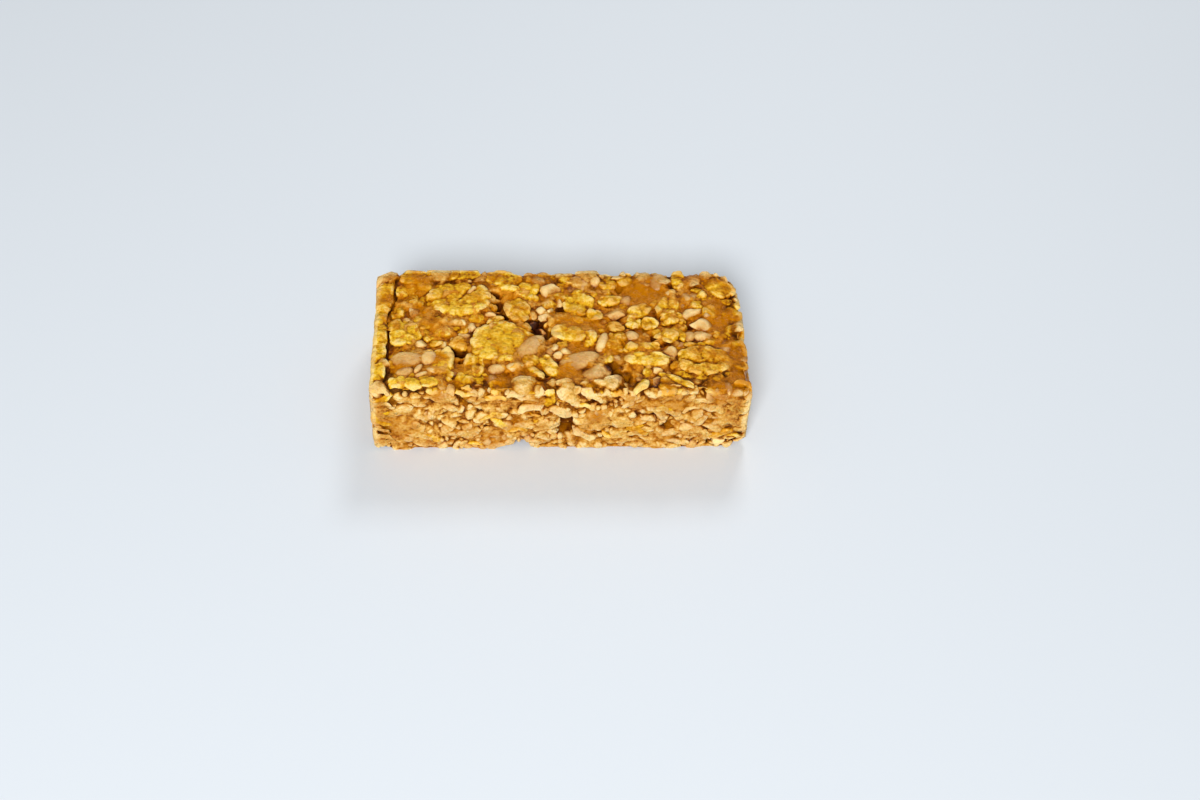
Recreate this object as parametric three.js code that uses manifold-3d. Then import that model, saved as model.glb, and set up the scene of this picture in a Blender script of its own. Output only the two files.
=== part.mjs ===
// Crunchy snack bar: toasted cornflakes and peanuts pressed into a slab, bound with caramel and
// cut to a rectangle. The bar is one bonded piece, so it is one solid: a block with crumbly cut
// sides, with the flakes, peanuts and chips that show fused to it, trimmed by the knife's planes.
// Millimetres, +Z up. The origin is the centre of the flat underside, +X runs along the bar and
// -Y faces the front.
import * as THREE from "three";
import { mergeVertices } from "three/addons/utils/BufferGeometryUtils.js";
import Module from "manifold-3d";

const wasm = await Module();
wasm.setup();

// Driving dimensions.
const barLength = 110;
const barWidth = 51;
const barHeight = 25; // highest flake
const caramelLevel = 23.3; // the block's own top, between the flakes
const cutOff = 0.4; // how far the outermost crumbs reach past the knife's planes, to be cut flat
const edgeRound = 1.6; // rounding of the block's edges
const cornerRound = 4; // plan radius of the bar's upright corners
const cell = { length: 2.5, width: 2.6, height: 1.8 }; // size of the block's facets

// Large flakes that lie on top. x and y are their centres, length and width their plan size,
// turn their heading in degrees, and tilt the slope of their long way in degrees. square is the
// exponent of the outline, 2 for an ellipse and more for a squarer one.
const flakes = [
  { x: -30.2, y: 14.6, length: 20.5, width: 16, turn: 0, tilt: 2 },
  { x: -16.4, y: -5.0, length: 18.5, width: 17, turn: 12, tilt: -3 },
  { x: -12.8, y: 9.3, length: 11.3, width: 8, turn: 100, tilt: 6 },
  { x: 2.4, y: -0.6, length: 11.5, width: 8, turn: -5, tilt: -4 },
  { x: 6.2, y: 12.0, length: 11, width: 9.5, turn: 35, tilt: 2 },
  { x: 17.6, y: 18.2, length: 14, width: 11, turn: -8, tilt: 3 },
  { x: 42.5, y: -13.0, length: 17, width: 13.5, turn: -6, tilt: 2 },
  { x: 49.2, y: 18.0, length: 14, width: 9, turn: 110, tilt: -3 },
  { x: 24.1, y: 5.4, length: 11.5, width: 8, turn: 60, tilt: 3 },
  { x: 33.2, y: 9.3, length: 11, width: 8, turn: 50, tilt: -4 },
  { x: 24.6, y: -10.0, length: 16, width: 8.5, turn: -10, tilt: 4 },
  { x: -45.2, y: -0.4, length: 12, width: 10.5, turn: 10, tilt: -4 },
  { x: -40.6, y: -16.6, length: 19.5, width: 16.5, turn: 3, tilt: 3, square: 5 },
  { x: -25.6, y: -16.6, length: 13, width: 8, turn: 82, tilt: 5 },
  { x: -3.2, y: -13.4, length: 13, width: 7.5, turn: 118, tilt: -6 },
  { x: 33.4, y: -21.4, length: 11.5, width: 5, turn: -24, tilt: 8 },
  { x: -18.0, y: 21.8, length: 12.5, width: 7, turn: 4, tilt: -4 },
  { x: -9.0, y: 18.4, length: 11, width: 7.5, turn: 70, tilt: 4 },
  { x: -45.0, y: 14.2, length: 12, width: 8, turn: 78, tilt: 3 },
  { x: -34.8, y: 3.6, length: 8, width: 5, turn: -12, tilt: 5 },
  { x: 11.4, y: 6.4, length: 7.5, width: 6.5, turn: 20, tilt: -5 },
  { x: 32.6, y: 0.0, length: 11.5, width: 7, turn: 70, tilt: 5 },
  { x: 43.4, y: 0.4, length: 10, width: 7, turn: 100, tilt: -3 },
  { x: 26.0, y: -18.8, length: 10, width: 6, turn: 14, tilt: -6 },
  { x: 51.0, y: 2.0, length: 12, width: 7, turn: 92, tilt: 2, square: 3 },
];

// Peanut halves and broken peanuts on top, named as the flakes are. lift raises one that lies
// on a flake.
const peanuts = [
  { x: -8.3, y: -6.8, length: 13, width: 7.4, turn: 50, lift: 0.5 },
  { x: 6.0, y: -12.2, length: 13.5, width: 7, turn: 28, lift: 0.1 },
  { x: 10.3, y: -17.0, length: 8.6, width: 7.6, turn: -28, lift: 0.4 },
  { x: -4.4, y: 7.6, length: 6.6, width: 5, turn: 25, lift: 0 },
  { x: -16.0, y: -16.6, length: 11.5, width: 5, turn: 4, lift: 0 },
  { x: 0.2, y: -7.8, length: 7.5, width: 6, turn: -40, lift: 0 },
  { x: 12.6, y: -4.8, length: 7.5, width: 4.2, turn: 75, lift: 0 },
  { x: -45.2, y: -13.2, length: 11.5, width: 7.8, turn: 15, lift: 0.5 },
  { x: -38.4, y: -11.2, length: 6, width: 5.4, turn: 60, lift: 0.5 },
  { x: -30.6, y: -18.8, length: 5, width: 4, turn: 50, lift: -0.6 },
  { x: 30.6, y: 21.6, length: 8, width: 5.4, turn: -10, lift: 0 },
  { x: 11.2, y: 21.8, length: 5.2, width: 4.4, turn: 70, lift: 0.2 },
  { x: 4.6, y: 20.8, length: 9, width: 7.5, turn: 30, lift: 0 },
  { x: -1.8, y: 16.8, length: 9, width: 7, turn: 60, lift: 0 },
  { x: 40.6, y: 14.6, length: 10, width: 7.5, turn: -35, lift: 0 },
  { x: 18.2, y: 7.0, length: 7, width: 5.5, turn: 20, lift: 0 },
  { x: 40.4, y: 7.6, length: 8, width: 4.4, turn: 24, lift: 0.1 },
  { x: 47.6, y: -6.4, length: 8.5, width: 6, turn: -60, lift: 0 },
  { x: -27.2, y: 3.0, length: 7.5, width: 5.6, turn: -30, lift: 0 },
  { x: -38.2, y: -2.4, length: 6.5, width: 4.2, turn: 65, lift: 0 },
];

// Slabs of pressed flakes that stand above the caramel: their middle, size and rise.
const slabs = [
  { x: -37.2, y: 22.4, length: 24, width: 6.6, rise: 1.9 },
  { x: -53.2, y: -3.0, length: 5.2, width: 40, rise: 1.1 },
];

// Open gaps between the pieces on top: deep pits in the block.
const pits = [
  { x: -17.6, y: 7.6, radius: 2.2, depth: 6 },
  { x: -6.4, y: 2.2, radius: 3.2, depth: 5 },
  { x: -29.8, y: -8.6, radius: 2.4, depth: 5 },
  { x: 0.8, y: 9.2, radius: 1.8, depth: 4 },
  { x: 15.6, y: -14.6, radius: 2.4, depth: 4 },
  { x: 18.8, y: -20.2, radius: 2.2, depth: 3 },
];

// Crack that runs along the left end, just inside the cut.
const crack = { x: -50.2, from: -25.5, to: 18, halfWidth: 1.1, depth: 2.6 };

// Hollows in the front face: x along the bar, z above the underside.
const frontHollows = [
  { x: 0.6, z: 8, radius: 2.6, depth: 3.5 },
  { x: 28, z: 8.5, radius: 1.8, depth: 2 },
  { x: -14, z: 14, radius: 1.6, depth: 1.4 },
];

// Shallow arch under the front edge, where the slab doesn't reach the surface it rests on.
const frontArch = { x: -12.5, width: 9, height: 2.6, depth: 5 };

// Corners that have crumbled away: their place, how far the wear reaches and how deep it goes.
const wornCorners = [
  { x: 55, y: -25.5, z: 0, reach: 11, depth: 4.6 },
  { x: -55, y: -25.5, z: 0, reach: 9, depth: 2 },
  { x: -55, y: 25.5, z: 25, reach: 8, depth: 2.4 },
  { x: 55, y: 25.5, z: 25, reach: 7, depth: 1.6 },
  { x: 55, y: 25.5, z: 0, reach: 8, depth: 2 },
  { x: -55, y: 25.5, z: 0, reach: 8, depth: 1.6 },
];

// Crumbs packed in the four cut sides. They lie flat, so they are longer than they are high.
const crumb = { length: 6.2, height: 3.1 };
const crumbStep = 1.5; // from the furthest crumb to the deepest
const crumbGap = 1.2; // depth of the gaps between them
const footNut = { x: 47.6, y: -23.8, z: 1.8, length: 6.4, depth: 4, height: 3.6 };

// Small chips in the caramel between the flakes.
const chipCount = 6;
const chipSize = { least: 1.4, most: 2.8 };

// The same draws each time: a multiplicative congruential generator.
function makeRandom(seed) {
  let state = seed;
  const draw = () => {
    state = (state * 16807) % 2147483647;
    return state / 2147483647;
  };
  draw.between = (low, high) => low + (high - low) * draw();
  return draw;
}

// Smooth noise from -1 to 1 on a unit lattice.
function latticeValue(i, j, k) {
  const wave = Math.sin(i * 127.1 + j * 311.7 + k * 74.7) * 43758.5453;
  return 2 * (wave - Math.floor(wave)) - 1;
}

function smoothNoise(x, y, z) {
  const [i, j, k] = [Math.floor(x), Math.floor(y), Math.floor(z)];
  const ease = (t) => t * t * (3 - 2 * t);
  const [u, v, w] = [ease(x - i), ease(y - j), ease(z - k)];
  const mix = THREE.MathUtils.lerp;
  const alongX = (dj, dk) =>
    mix(latticeValue(i, j + dj, k + dk), latticeValue(i + 1, j + dj, k + dk), u);
  return mix(mix(alongX(0, 0), alongX(1, 0), v), mix(alongX(0, 1), alongX(1, 1), v), w);
}

// Packed cells of one unit across: step is a cell's own draw from 0 to 1, and gap goes from 1 at
// the middle of a cell to 0 at its border.
function packedCells(x, y, z) {
  const [i, j, k] = [Math.floor(x), Math.floor(y), Math.floor(z)];
  let [nearest, next, step] = [9, 9, 0];
  for (let a = i - 1; a <= i + 1; a++) {
    for (let b = j - 1; b <= j + 1; b++) {
      for (let c = k - 1; c <= k + 1; c++) {
        const [u, v, w] = [0, 40, 80].map((s) => 0.5 + 0.42 * latticeValue(a + s, b, c));
        const distance = Math.hypot(a + u - x, b + v - y, c + w - z);
        if (distance < nearest) {
          next = nearest;
          nearest = distance;
          step = 0.5 + 0.5 * latticeValue(a, b + 17, c);
        } else if (distance < next) {
          next = distance;
        }
      }
    }
  }
  return { step, gap: Math.min(1, (next - nearest) * 2.4) };
}

function toSolid(geometry) {
  geometry.deleteAttribute("normal");
  geometry.deleteAttribute("uv");
  const merged = mergeVertices(geometry, 1e-3);
  return new wasm.Manifold(
    new wasm.Mesh({
      numProp: 3,
      vertProperties: merged.attributes.position.array,
      triVerts: new Uint32Array(merged.index.array),
    }),
  );
}

function toGeometry(solid) {
  const { vertProperties, triVerts } = solid.getMesh();
  const geometry = new THREE.BufferGeometry();
  geometry.setAttribute("position", new THREE.BufferAttribute(vertProperties, 3));
  geometry.setIndex(new THREE.BufferAttribute(triVerts, 1));
  geometry.computeVertexNormals();
  return geometry;
}

// Moves every vertex of a geometry by move(point).
function reshape(geometry, move) {
  const position = geometry.attributes.position;
  const point = new THREE.Vector3();
  for (let i = 0; i < position.count; i++) {
    point.fromBufferAttribute(position, i);
    move(point);
    position.setXYZ(i, point.x, point.y, point.z);
  }
  return geometry;
}

// 1 at the middle of a round dip, easing to 0 at its edge.
function dip(distance, radius) {
  const t = Math.max(0, 1 - distance / radius);
  return t * t * (3 - 2 * t);
}

// Draws a point in towards the middle of the bar where a corner is worn.
function wear(p) {
  for (const corner of wornCorners) {
    const distance = Math.hypot(p.x - corner.x, p.y - corner.y, p.z - corner.z);
    const depth = corner.depth * dip(distance, corner.reach);
    p.x -= Math.sign(corner.x) * depth;
    p.y -= Math.sign(corner.y) * depth * 0.6;
  }
  return p;
}

// How far the block's top lies below the caramel's level at a place.
function topHollow(x, y) {
  let depth = 0.5 + 0.7 * smoothNoise(x / 2.6, y / 2.6, 7);
  for (const slab of slabs) {
    const inside = Math.min(
      slab.length / 2 - Math.abs(x - slab.x),
      slab.width / 2 - Math.abs(y - slab.y),
    );
    depth -= slab.rise * THREE.MathUtils.smoothstep(inside, -0.6, 0.6);
  }
  for (const pit of pits) {
    depth += pit.depth * dip(Math.hypot(x - pit.x, y - pit.y), pit.radius * 1.7);
  }
  if (y > crack.from && y < crack.to) {
    depth += crack.depth * dip(Math.abs(x - crack.x), crack.halfWidth * 2.4);
  }
  return depth;
}

// How far a side is eaten in at a place, by the crumbs and the hollows in the front.
function sideHollow(x, y, z) {
  const { step, gap } = packedCells(x / crumb.length, y / crumb.length + 9, z / crumb.height);
  let depth = crumbStep * step + crumbGap * (1 - gap);
  if (y < 0) {
    for (const hollow of frontHollows) {
      depth += hollow.depth * dip(Math.hypot(x - hollow.x, z - hollow.z), hollow.radius * 1.6);
    }
  }
  return depth;
}

// The pressed slab without the pieces on it. It reaches below the underside, where it is cut flat.
function makeBlock() {
  const below = 4;
  const size = new THREE.Vector3(
    barLength + 2 * cutOff,
    barWidth + 2 * cutOff,
    caramelLevel + below,
  );
  const steps = size.clone().divide(new THREE.Vector3(cell.length, cell.width, cell.height)).round();
  const geometry = new THREE.BoxGeometry(size.x, size.y, size.z, steps.x, steps.y, steps.z);
  const inner = new THREE.Vector3(
    size.x / 2 - cornerRound,
    size.y / 2 - cornerRound,
    size.z / 2 - edgeRound,
  );
  const core = new THREE.Vector3();
  const out = new THREE.Vector3();
  reshape(geometry, (p) => {
    core.copy(p).clamp(inner.clone().negate(), inner);
    out.subVectors(p, core);
    out.set(out.x / cornerRound, out.y / cornerRound, out.z / edgeRound).normalize();
    const upward = out.z;
    const sideways = Math.hypot(out.x, out.y);
    p.set(
      core.x + out.x * cornerRound,
      core.y + out.y * cornerRound,
      core.z + out.z * edgeRound + (caramelLevel - below) / 2,
    );
    if (sideways > 0) {
      const depth = sideHollow(p.x, p.y, p.z) * sideways;
      p.x -= (out.x / sideways) * depth;
      p.y -= (out.y / sideways) * depth;
    }
    if (upward > 0) {
      p.z -= topHollow(p.x, p.y) * upward;
    }
    wear(p);
  });
  return toSolid(geometry);
}

// A wavy, blistered flake: a thin disc with an uneven outline, curled up at its rim.
function makeFlake(flake, index) {
  const random = makeRandom(1000 + 37 * index);
  const thickness = 2.6;
  const lobes = { phase: random.between(0, 6.28), depth: random.between(0.05, 0.11) };
  const notches = { phase: random.between(0, 6.28), depth: random.between(0.04, 0.08) };
  const curl = { phase: random.between(0, 6.28), rise: random.between(0.4, 0.9) };
  const square = flake.square ?? random.between(2, 3);
  const around = Math.min(12, Math.max(8, Math.round(flake.length * 0.65)));
  const geometry = new THREE.SphereGeometry(1, around, 5);
  geometry.rotateX(Math.PI / 2);
  reshape(geometry, (p) => {
    const angle = Math.atan2(p.y, p.x);
    const reach = Math.hypot(p.x, p.y);
    const outline =
      Math.pow(Math.abs(Math.cos(angle)) ** square + Math.abs(Math.sin(angle)) ** square, -1 / square) *
      (1 +
        lobes.depth * Math.sin(3 * angle + lobes.phase) +
        notches.depth * Math.sin(7 * angle + notches.phase));
    const swell = Math.sign(p.z) * Math.pow(Math.abs(p.z), 0.6);
    const blister = 0.35 * smoothNoise(p.x * 2.2 + index, p.y * 2.2, 3);
    const rise = curl.rise * reach * reach * Math.sin(2 * angle + curl.phase);
    p.x *= (outline * flake.length) / 2;
    p.y *= (outline * flake.width) / 2;
    p.z = (swell * thickness) / 2 + rise * 0.5 + blister;
  });
  geometry.rotateY(THREE.MathUtils.degToRad(-flake.tilt));
  geometry.rotateZ(THREE.MathUtils.degToRad(flake.turn));
  geometry.translate(flake.x, flake.y, barHeight - thickness / 2 - 0.8);
  return toSolid(geometry);
}

// Half a peanut, flat side down: an egg-shaped dome with a pointed tip.
function makePeanut(nut) {
  const height = 3.4;
  const geometry = new THREE.SphereGeometry(1, 8, 4);
  geometry.rotateX(Math.PI / 2);
  reshape(geometry, (p) => {
    const taper = 1 - 0.18 * p.x;
    p.x *= nut.length / 2;
    p.y *= (nut.width / 2) * taper;
    p.z *= p.z > 0 ? height * 0.62 : height * 0.38;
  });
  geometry.rotateZ(THREE.MathUtils.degToRad(nut.turn));
  geometry.translate(nut.x, nut.y, barHeight - height * 0.62 - 0.3 + Math.min(nut.lift, 0.3));
  return toSolid(geometry);
}

// An angular crumb of the given size, turned about the upright and tipped a little.
function makeCrumb(length, depth, height, turn, tip, place) {
  const geometry = new THREE.IcosahedronGeometry(0.5, 0);
  reshape(geometry, (p) => {
    p.multiplyScalar(1.15 + 0.35 * smoothNoise(p.x * 3 + place.x, p.y * 3 + place.y, p.z * 3));
  });
  geometry.scale(length, depth, height);
  geometry.rotateY(tip);
  geometry.rotateZ(turn);
  geometry.translate(place.x, place.y, place.z);
  return toSolid(geometry);
}

// Chips scattered evenly over the top, where flakes and peanuts leave the caramel bare.
function makeTopChips() {
  const random = makeRandom(777);
  const pieces = [...flakes, ...peanuts];
  const bare = (x, y) =>
    pieces.every((p) => Math.hypot(x - p.x, y - p.y) > (p.length + p.width) / 5) &&
    pits.every((p) => Math.hypot(x - p.x, y - p.y) > p.radius * 1.3);
  const chips = [];
  while (chips.length < chipCount) {
    const x = random.between(-barLength / 2 + 3, barLength / 2 - 3);
    const y = random.between(-barWidth / 2 + 3, barWidth / 2 - 3);
    const size = random.between(chipSize.least, chipSize.most);
    const turn = random.between(0, 3.14);
    if (bare(x, y)) {
      const place = new THREE.Vector3(x, y, caramelLevel + random.between(-0.2, 0.6));
      chips.push(makeCrumb(size * 1.5, size, size, turn, random.between(-0.4, 0.4), place));
    }
  }
  return chips;
}

// The space between the knife's planes, down to the flat underside.
function makeEnvelope() {
  const plan = new THREE.Shape();
  const [halfLength, halfWidth, r] = [barLength / 2, barWidth / 2, cornerRound * 0.6];
  plan.moveTo(-halfLength + r, -halfWidth);
  plan.lineTo(halfLength - r, -halfWidth);
  plan.quadraticCurveTo(halfLength, -halfWidth, halfLength, -halfWidth + r);
  plan.lineTo(halfLength, halfWidth - r);
  plan.quadraticCurveTo(halfLength, halfWidth, halfLength - r, halfWidth);
  plan.lineTo(-halfLength + r, halfWidth);
  plan.quadraticCurveTo(-halfLength, halfWidth, -halfLength, halfWidth - r);
  plan.lineTo(-halfLength, -halfWidth + r);
  plan.quadraticCurveTo(-halfLength, -halfWidth, -halfLength + r, -halfWidth);
  const prism = new THREE.ExtrudeGeometry(plan, {
    depth: barHeight,
    bevelEnabled: false,
    curveSegments: 4,
  });
  return toSolid(prism);
}

// The arch that is cut under the front edge.
function makeFrontArch() {
  const geometry = new THREE.SphereGeometry(1, 12, 8);
  geometry.scale(frontArch.width / 2, frontArch.depth, frontArch.height);
  geometry.translate(frontArch.x, -barWidth / 2, 0);
  return toSolid(geometry);
}

// The largest body of a fused solid, once it is welded: it fills what fusing sealed and drops
// loose scraps.
function wholePiece(solid) {
  const bodies = toSolid(toGeometry(solid)).decompose();
  return bodies.reduce((a, b) => (a.volume() > b.volume() ? a : b));
}

function makeBar() {
  const foot = new THREE.Vector3(footNut.x, footNut.y, footNut.z);
  const pieces = [
    ...flakes.map(makeFlake),
    ...peanuts.map(makePeanut),
    ...makeTopChips(),
    makeCrumb(footNut.length, footNut.depth, footNut.height, 0, 0.1, foot),
  ];
  const fused = pieces.reduce((bar, piece) => bar.add(piece), makeBlock());
  return wholePiece(fused.intersect(makeEnvelope()).subtract(makeFrontArch()));
}

const bar = new THREE.Mesh(
  toGeometry(makeBar()),
  new THREE.MeshStandardMaterial({ color: 0xc8923c, roughness: 0.45, metalness: 0 }),
);
bar.name = "granola_bar";

const part = new THREE.Group();
part.add(bar);

export default part;
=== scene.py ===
# Crunchy snack bar of cornflakes and peanuts pressed in caramel, 110 x 51 x 25 mm.
# Whole flakes and nuts lie on top, crumbs and cut flakes are packed in the four sides, and caramel
# is poured round all of them. The pieces together stand for the frame's granola_bar node.
import math
import random

import bpy
import numpy as np
from mathutils import Matrix, Vector, noise
from mathutils.bvhtree import BVHTree


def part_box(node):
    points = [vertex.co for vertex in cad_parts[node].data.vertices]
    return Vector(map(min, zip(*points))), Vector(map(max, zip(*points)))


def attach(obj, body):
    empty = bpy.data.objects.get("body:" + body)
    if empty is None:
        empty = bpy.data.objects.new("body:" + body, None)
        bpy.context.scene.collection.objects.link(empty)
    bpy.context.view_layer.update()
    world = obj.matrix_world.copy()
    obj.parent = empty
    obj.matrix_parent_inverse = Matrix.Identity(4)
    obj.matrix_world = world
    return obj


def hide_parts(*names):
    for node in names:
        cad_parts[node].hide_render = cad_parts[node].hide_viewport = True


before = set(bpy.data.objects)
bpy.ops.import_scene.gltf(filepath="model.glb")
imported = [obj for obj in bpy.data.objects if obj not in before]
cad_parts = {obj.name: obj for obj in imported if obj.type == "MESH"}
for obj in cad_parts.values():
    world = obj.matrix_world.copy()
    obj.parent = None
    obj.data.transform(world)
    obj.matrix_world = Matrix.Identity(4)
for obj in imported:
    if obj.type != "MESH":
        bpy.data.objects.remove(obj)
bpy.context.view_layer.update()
print("frame loaded")

mm = 0.001
tiny = 1e-6  # keeps a division from going by nothing
low, high = (Vector(corner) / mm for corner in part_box("granola_bar"))
halfLength = (high.x - low.x) / 2
halfWidth = (high.y - low.y) / 2
barTop = high.z

# Places shared with the solid bar, in mm from its middle; the amber spots; the spots of painted shade; and
# the pale spots, bare of caramel and partly painted highlight.
layout = {
    "pits": [  # x, y, radius, depth
        (-17.2, 7.3, 1.9, 5), (-18.8, 11.6, 1.9, 3), (-19.4, 16.6, 1.6, 2.6), (-7, 3.2, 3.1, 4),
        (-3.6, -1.6, 1.4, 2.2), (0.4, 9.4, 1.6, 3.4), (-29.9, -8.5, 2, 4.5), (-29, -12.5, 1, 1.8),
        (14.8, -16.6, 2.1, 3.8), (18.6, -19.6, 2.1, 2.8), (-22.6, 2.6, 1.4, 2), (-4.3, -18.4, 0.9, 2.5),
        (38.3, 2.6, 1, 2), (28.3, -2.6, 0.9, 1.8), (-40.2, 12, 1.1, 2), (18.5, 19, 1.5, 1.6),
        (43.6, 9.4, 1, 1.6), (33.8, -13.5, 0.9, 1.5), (48.4, -18.3, 1, 1.8), (-51.2, 4.5, 1.2, 2),
    ],
    "crack": {
        "x": -50.7,
        "to": 23,
        "past": 2,  # how far beyond its end pieces are still cut in line with it
        "lean": {"from": 5, "over": 17, "by": 1.7},
        "wander": 0.3,
        "waves": [(0.45, 2, 1), (1.3, 1, 0.7)],  # rate, phase, share
        "halfWidth": 0.2,
        "wide": (4.8, 5, 2.6),  # where it gapes, how far round that, how much more
        "depth": 1.3,
    },
    "frontHollows": [  # x, z, radius, depth
        (1.9, 11.8, 1.5, 5.5), (1.5, 8, 2.2, 4.6), (31, 9.5, 1.1, 2.6), (-23.6, 15.4, 0.9, 1.8),
        (44.9, 2.6, 1.2, 3.2), (-30.2, 11, 0.9, 1.4), (-34.6, 8.6, 0.9, 1.5), (-13.2, 20.6, 0.8, 1.4),
        (-21, 21.2, 0.9, 1.4), (14.8, 11.4, 0.8, 1.6), (23.4, 22.4, 1, 1.4), (-6.9, 17, 0.8, 1.5),
        (-42.6, 18, 0.7, 1.3), (27, 14, 0.9, 1.2), (10, 5.6, 0.8, 1.3), (-46.5, 18.4, 0.8, 1.2),
        (41.6, 22.8, 0.9, 1.4), (9, 19.6, 0.7, 1.2),
    ],
    "frontGroove": {"x": -45.5, "z": 23.6, "length": 9.5, "height": 0.8, "depth": 1.8},
    "frontArch": {"x": -11.5, "left": 8, "right": 3.6, "height": 2.5, "depth": 4},
    "wornCorners": [  # x, y, z, reach, depth
        (55, -25.5, 0, 9, 2.8), (-55, -25.5, 0, 8, 1.4), (-55, 25.5, 25, 8, 2.4), (55, 25.5, 25, 8, 2.2),
        (55, 25.5, 0, 8, 2), (-55, 25.5, 0, 8, 1.6),
    ],
    "amberSpots": [  # x, y, z, radius, share: where the caramel lies thickest
        (-20.5, -1.5, 25, 3, 0.25), (-12, -2.5, 25, 3, 0.4), (-12.5, 10, 25, 4, 0.5),
        (-37.5, 16, 25, 2.6, 0.4), (-28, 17.5, 25, 3, 0.3), (45, -9.5, 25, 2.8, 0.4), (50, 21, 25, 4, 0.5),
        (-43, 20, 24, 6, 0.9), (-41.5, 8.5, 24, 5, 0.9), (-38.5, 4, 24, 4, 0.8), (-46.4, -16, 25, 3.2, 0.8),
        (-34.8, -12.5, 24.6, 3.5, 1), (-17.5, -20.6, 24, 4.4, 1), (2.5, -18.3, 24, 5, 1),
        (5.4, -7.4, 24, 3.8, 1), (4, 4.6, 24, 7, 0.9), (10, 3.5, 24, 5, 0.7), (26, 16.5, 24, 9, 1),
        (49.5, 5, 24, 7, 1), (47, 11.5, 24, 4, 1), (53.5, -10, 24, 8, 0.8), (53.5, -20, 24, 7, 1),
        (47, -24, 23, 6, 1), (18.7, -19.7, 24, 4, 0.9), (18.5, 19, 24, 3, 0.9), (42, 24, 24, 4, 0.9),
        (-21, 23, 24, 4, 0.8), (-5.5, 23.5, 24, 6, 0.8), (-10.5, 1.8, 24.5, 3.5, 0.7), (-52, 13, 24, 4, 1),
        (-51.6, 4.5, 24, 3.5, 1), (-35, -25, 24, 4, 0.9), (-28.6, -16, 23.5, 4, 0.8),
        (10.5, -26, 13.5, 3.5, 0.9), (-47.5, -26, 10, 7, 0.6), (22, -26, 18.5, 4, 0.6),
        (33, -26, 18, 4, 0.5), (-20, -26, 3, 6, 0.5), (-7, -26, 20, 3, 0.6), (1.5, -23, 5.8, 2.5, 0.5),
    ],
    "paintedShadeSpots": [  # x, y, z, radius, share: painted shade where little light gets in
        (1.7, -22.6, 9.4, 3, 1), (1.5, -22.5, 6.2, 2.2, 0.4), (31, -24, 8.8, 2, 0.8),
        (15.2, -15.2, 22, 3.4, 0.9), (18.6, -18.8, 22.3, 3, 0.7), (-29.9, -8.6, 21.6, 2.6, 0.7),
        (-17.4, 7.6, 21.6, 2.8, 0.7), (-7, 3, 21.6, 3, 0.6), (0.4, 9.4, 22, 2.4, 0.7),
    ],
    "bareAndHighlightSpots": [  # x, y, z, radius, share: where rims and cut faces are bare of caramel and light, and on rims facing the lamp partly a painted highlight
        (-47, -22, 25, 5, 1), (-41, -22, 25, 5, 1), (-36.5, -22, 25, 4.5, 1), (-33.2, -15, 24.5, 3, 0.5),
        (-35.5, 8, 24.5, 3, 0.9), (-31.5, 8, 24.5, 3, 0.9), (-26.5, 8, 24.5, 3, 0.9),
        (-23, 10, 24.5, 2.5, 0.5), (-23.5, -2, 24.5, 2.4, 0.8), (-24, -7, 24.5, 2.6, 0.8),
        (-21.5, -10.5, 24.5, 2.6, 0.7), (-15, -12, 24.5, 3, 0.4), (46.5, -18, 24.5, 4, 0.8),
        (41, -18.5, 24.5, 3.5, 0.7), (36.6, -15.6, 24.5, 3, 0.8), (-46, -5.6, 24.5, 4, 0.8),
        (-16, 19.3, 24.5, 4, 0.7), (-22, 19.6, 24.5, 3, 0.7), (1.5, -4.4, 24.5, 3.5, 0.7),
        (23, -14.5, 24.5, 4, 0.7), (29, -14.5, 24.5, 4, 0.6), (36, -22.5, 24.5, 4, 0.8),
        (30.5, -19.5, 24.5, 3, 0.7), (-3.6, -17.5, 24.5, 2.5, 0.7), (-5.4, -12, 24.5, 2.5, 0.6),
        (11.4, 22.2, 24.5, 3, 0.8), (-44, -26, 21, 6, 0.4), (-33, -26, 13.5, 7, 0.4),
        (-24, -26, 15, 6, 0.5), (17, -26, 14, 4, 0.6), (9, -26, 3, 4, 0.5), (50, -26, 11, 5, 0.5),
        (48.2, -26, 2.4, 3.5, 1), (-35, -26, 13.2, 3, 1), (-30.4, -26, 14, 3.4, 1), (-26, -26, 14, 3, 1),
        (-53.5, -20, 24.5, 5, 0.5), (-53.5, -6, 24.5, 5, 0.4), (-53.5, 3, 24.5, 4, 0.4),
        (3, -24, 24, 8, 0.3), (-12, -24, 23, 6, 0.2),
    ],
}


def deselectAll():
    bpy.ops.object.select_all(action="DESELECT")


def onlySelect(piece):
    deselectAll()
    piece.select_set(True)
    bpy.context.view_layer.objects.active = piece


def named(name):
    piece = bpy.context.object
    piece.name = name
    piece.data.name = name
    return piece


def addModifier(piece, kind, **settings):
    onlySelect(piece)
    modifier = piece.modifiers.new(kind.title(), kind)
    for key, value in settings.items():
        setattr(modifier, key, value)
    bpy.ops.object.modifier_apply(modifier=modifier.name)


def readPoints(piece):
    points = np.empty(len(piece.data.vertices) * 3)
    piece.data.vertices.foreach_get("co", points)
    return points.reshape(-1, 3) / mm


def writePoints(piece, points):
    piece.data.vertices.foreach_set("co", (np.asarray(points) * mm).ravel())
    piece.data.update()


def setValues(piece, name, values):  # a number at each vertex, which the piece's material reads
    attribute = piece.data.attributes.get(name) or piece.data.attributes.new(name, "FLOAT", "POINT")
    attribute.data.foreach_set("value", np.broadcast_to(values, len(piece.data.vertices)).astype(float))


def joined(pieces, name):
    deselectAll()
    for piece in pieces:
        piece.select_set(True)
    bpy.context.view_layer.objects.active = pieces[0]
    bpy.ops.object.join()
    return named(name)


def turned(axis, degrees):
    return Matrix.Rotation(math.radians(degrees), 4, axis)


def placedAt(x, y, z):  # in mm
    return Matrix.Translation(Vector((x, y, z)) * mm)


def laid(piece, place, material, tone):  # moves a new piece to its place and gives it its looks
    piece.data.transform(place)
    piece.data.materials.append(material)
    setValues(piece, "tone", tone)
    return piece


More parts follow.
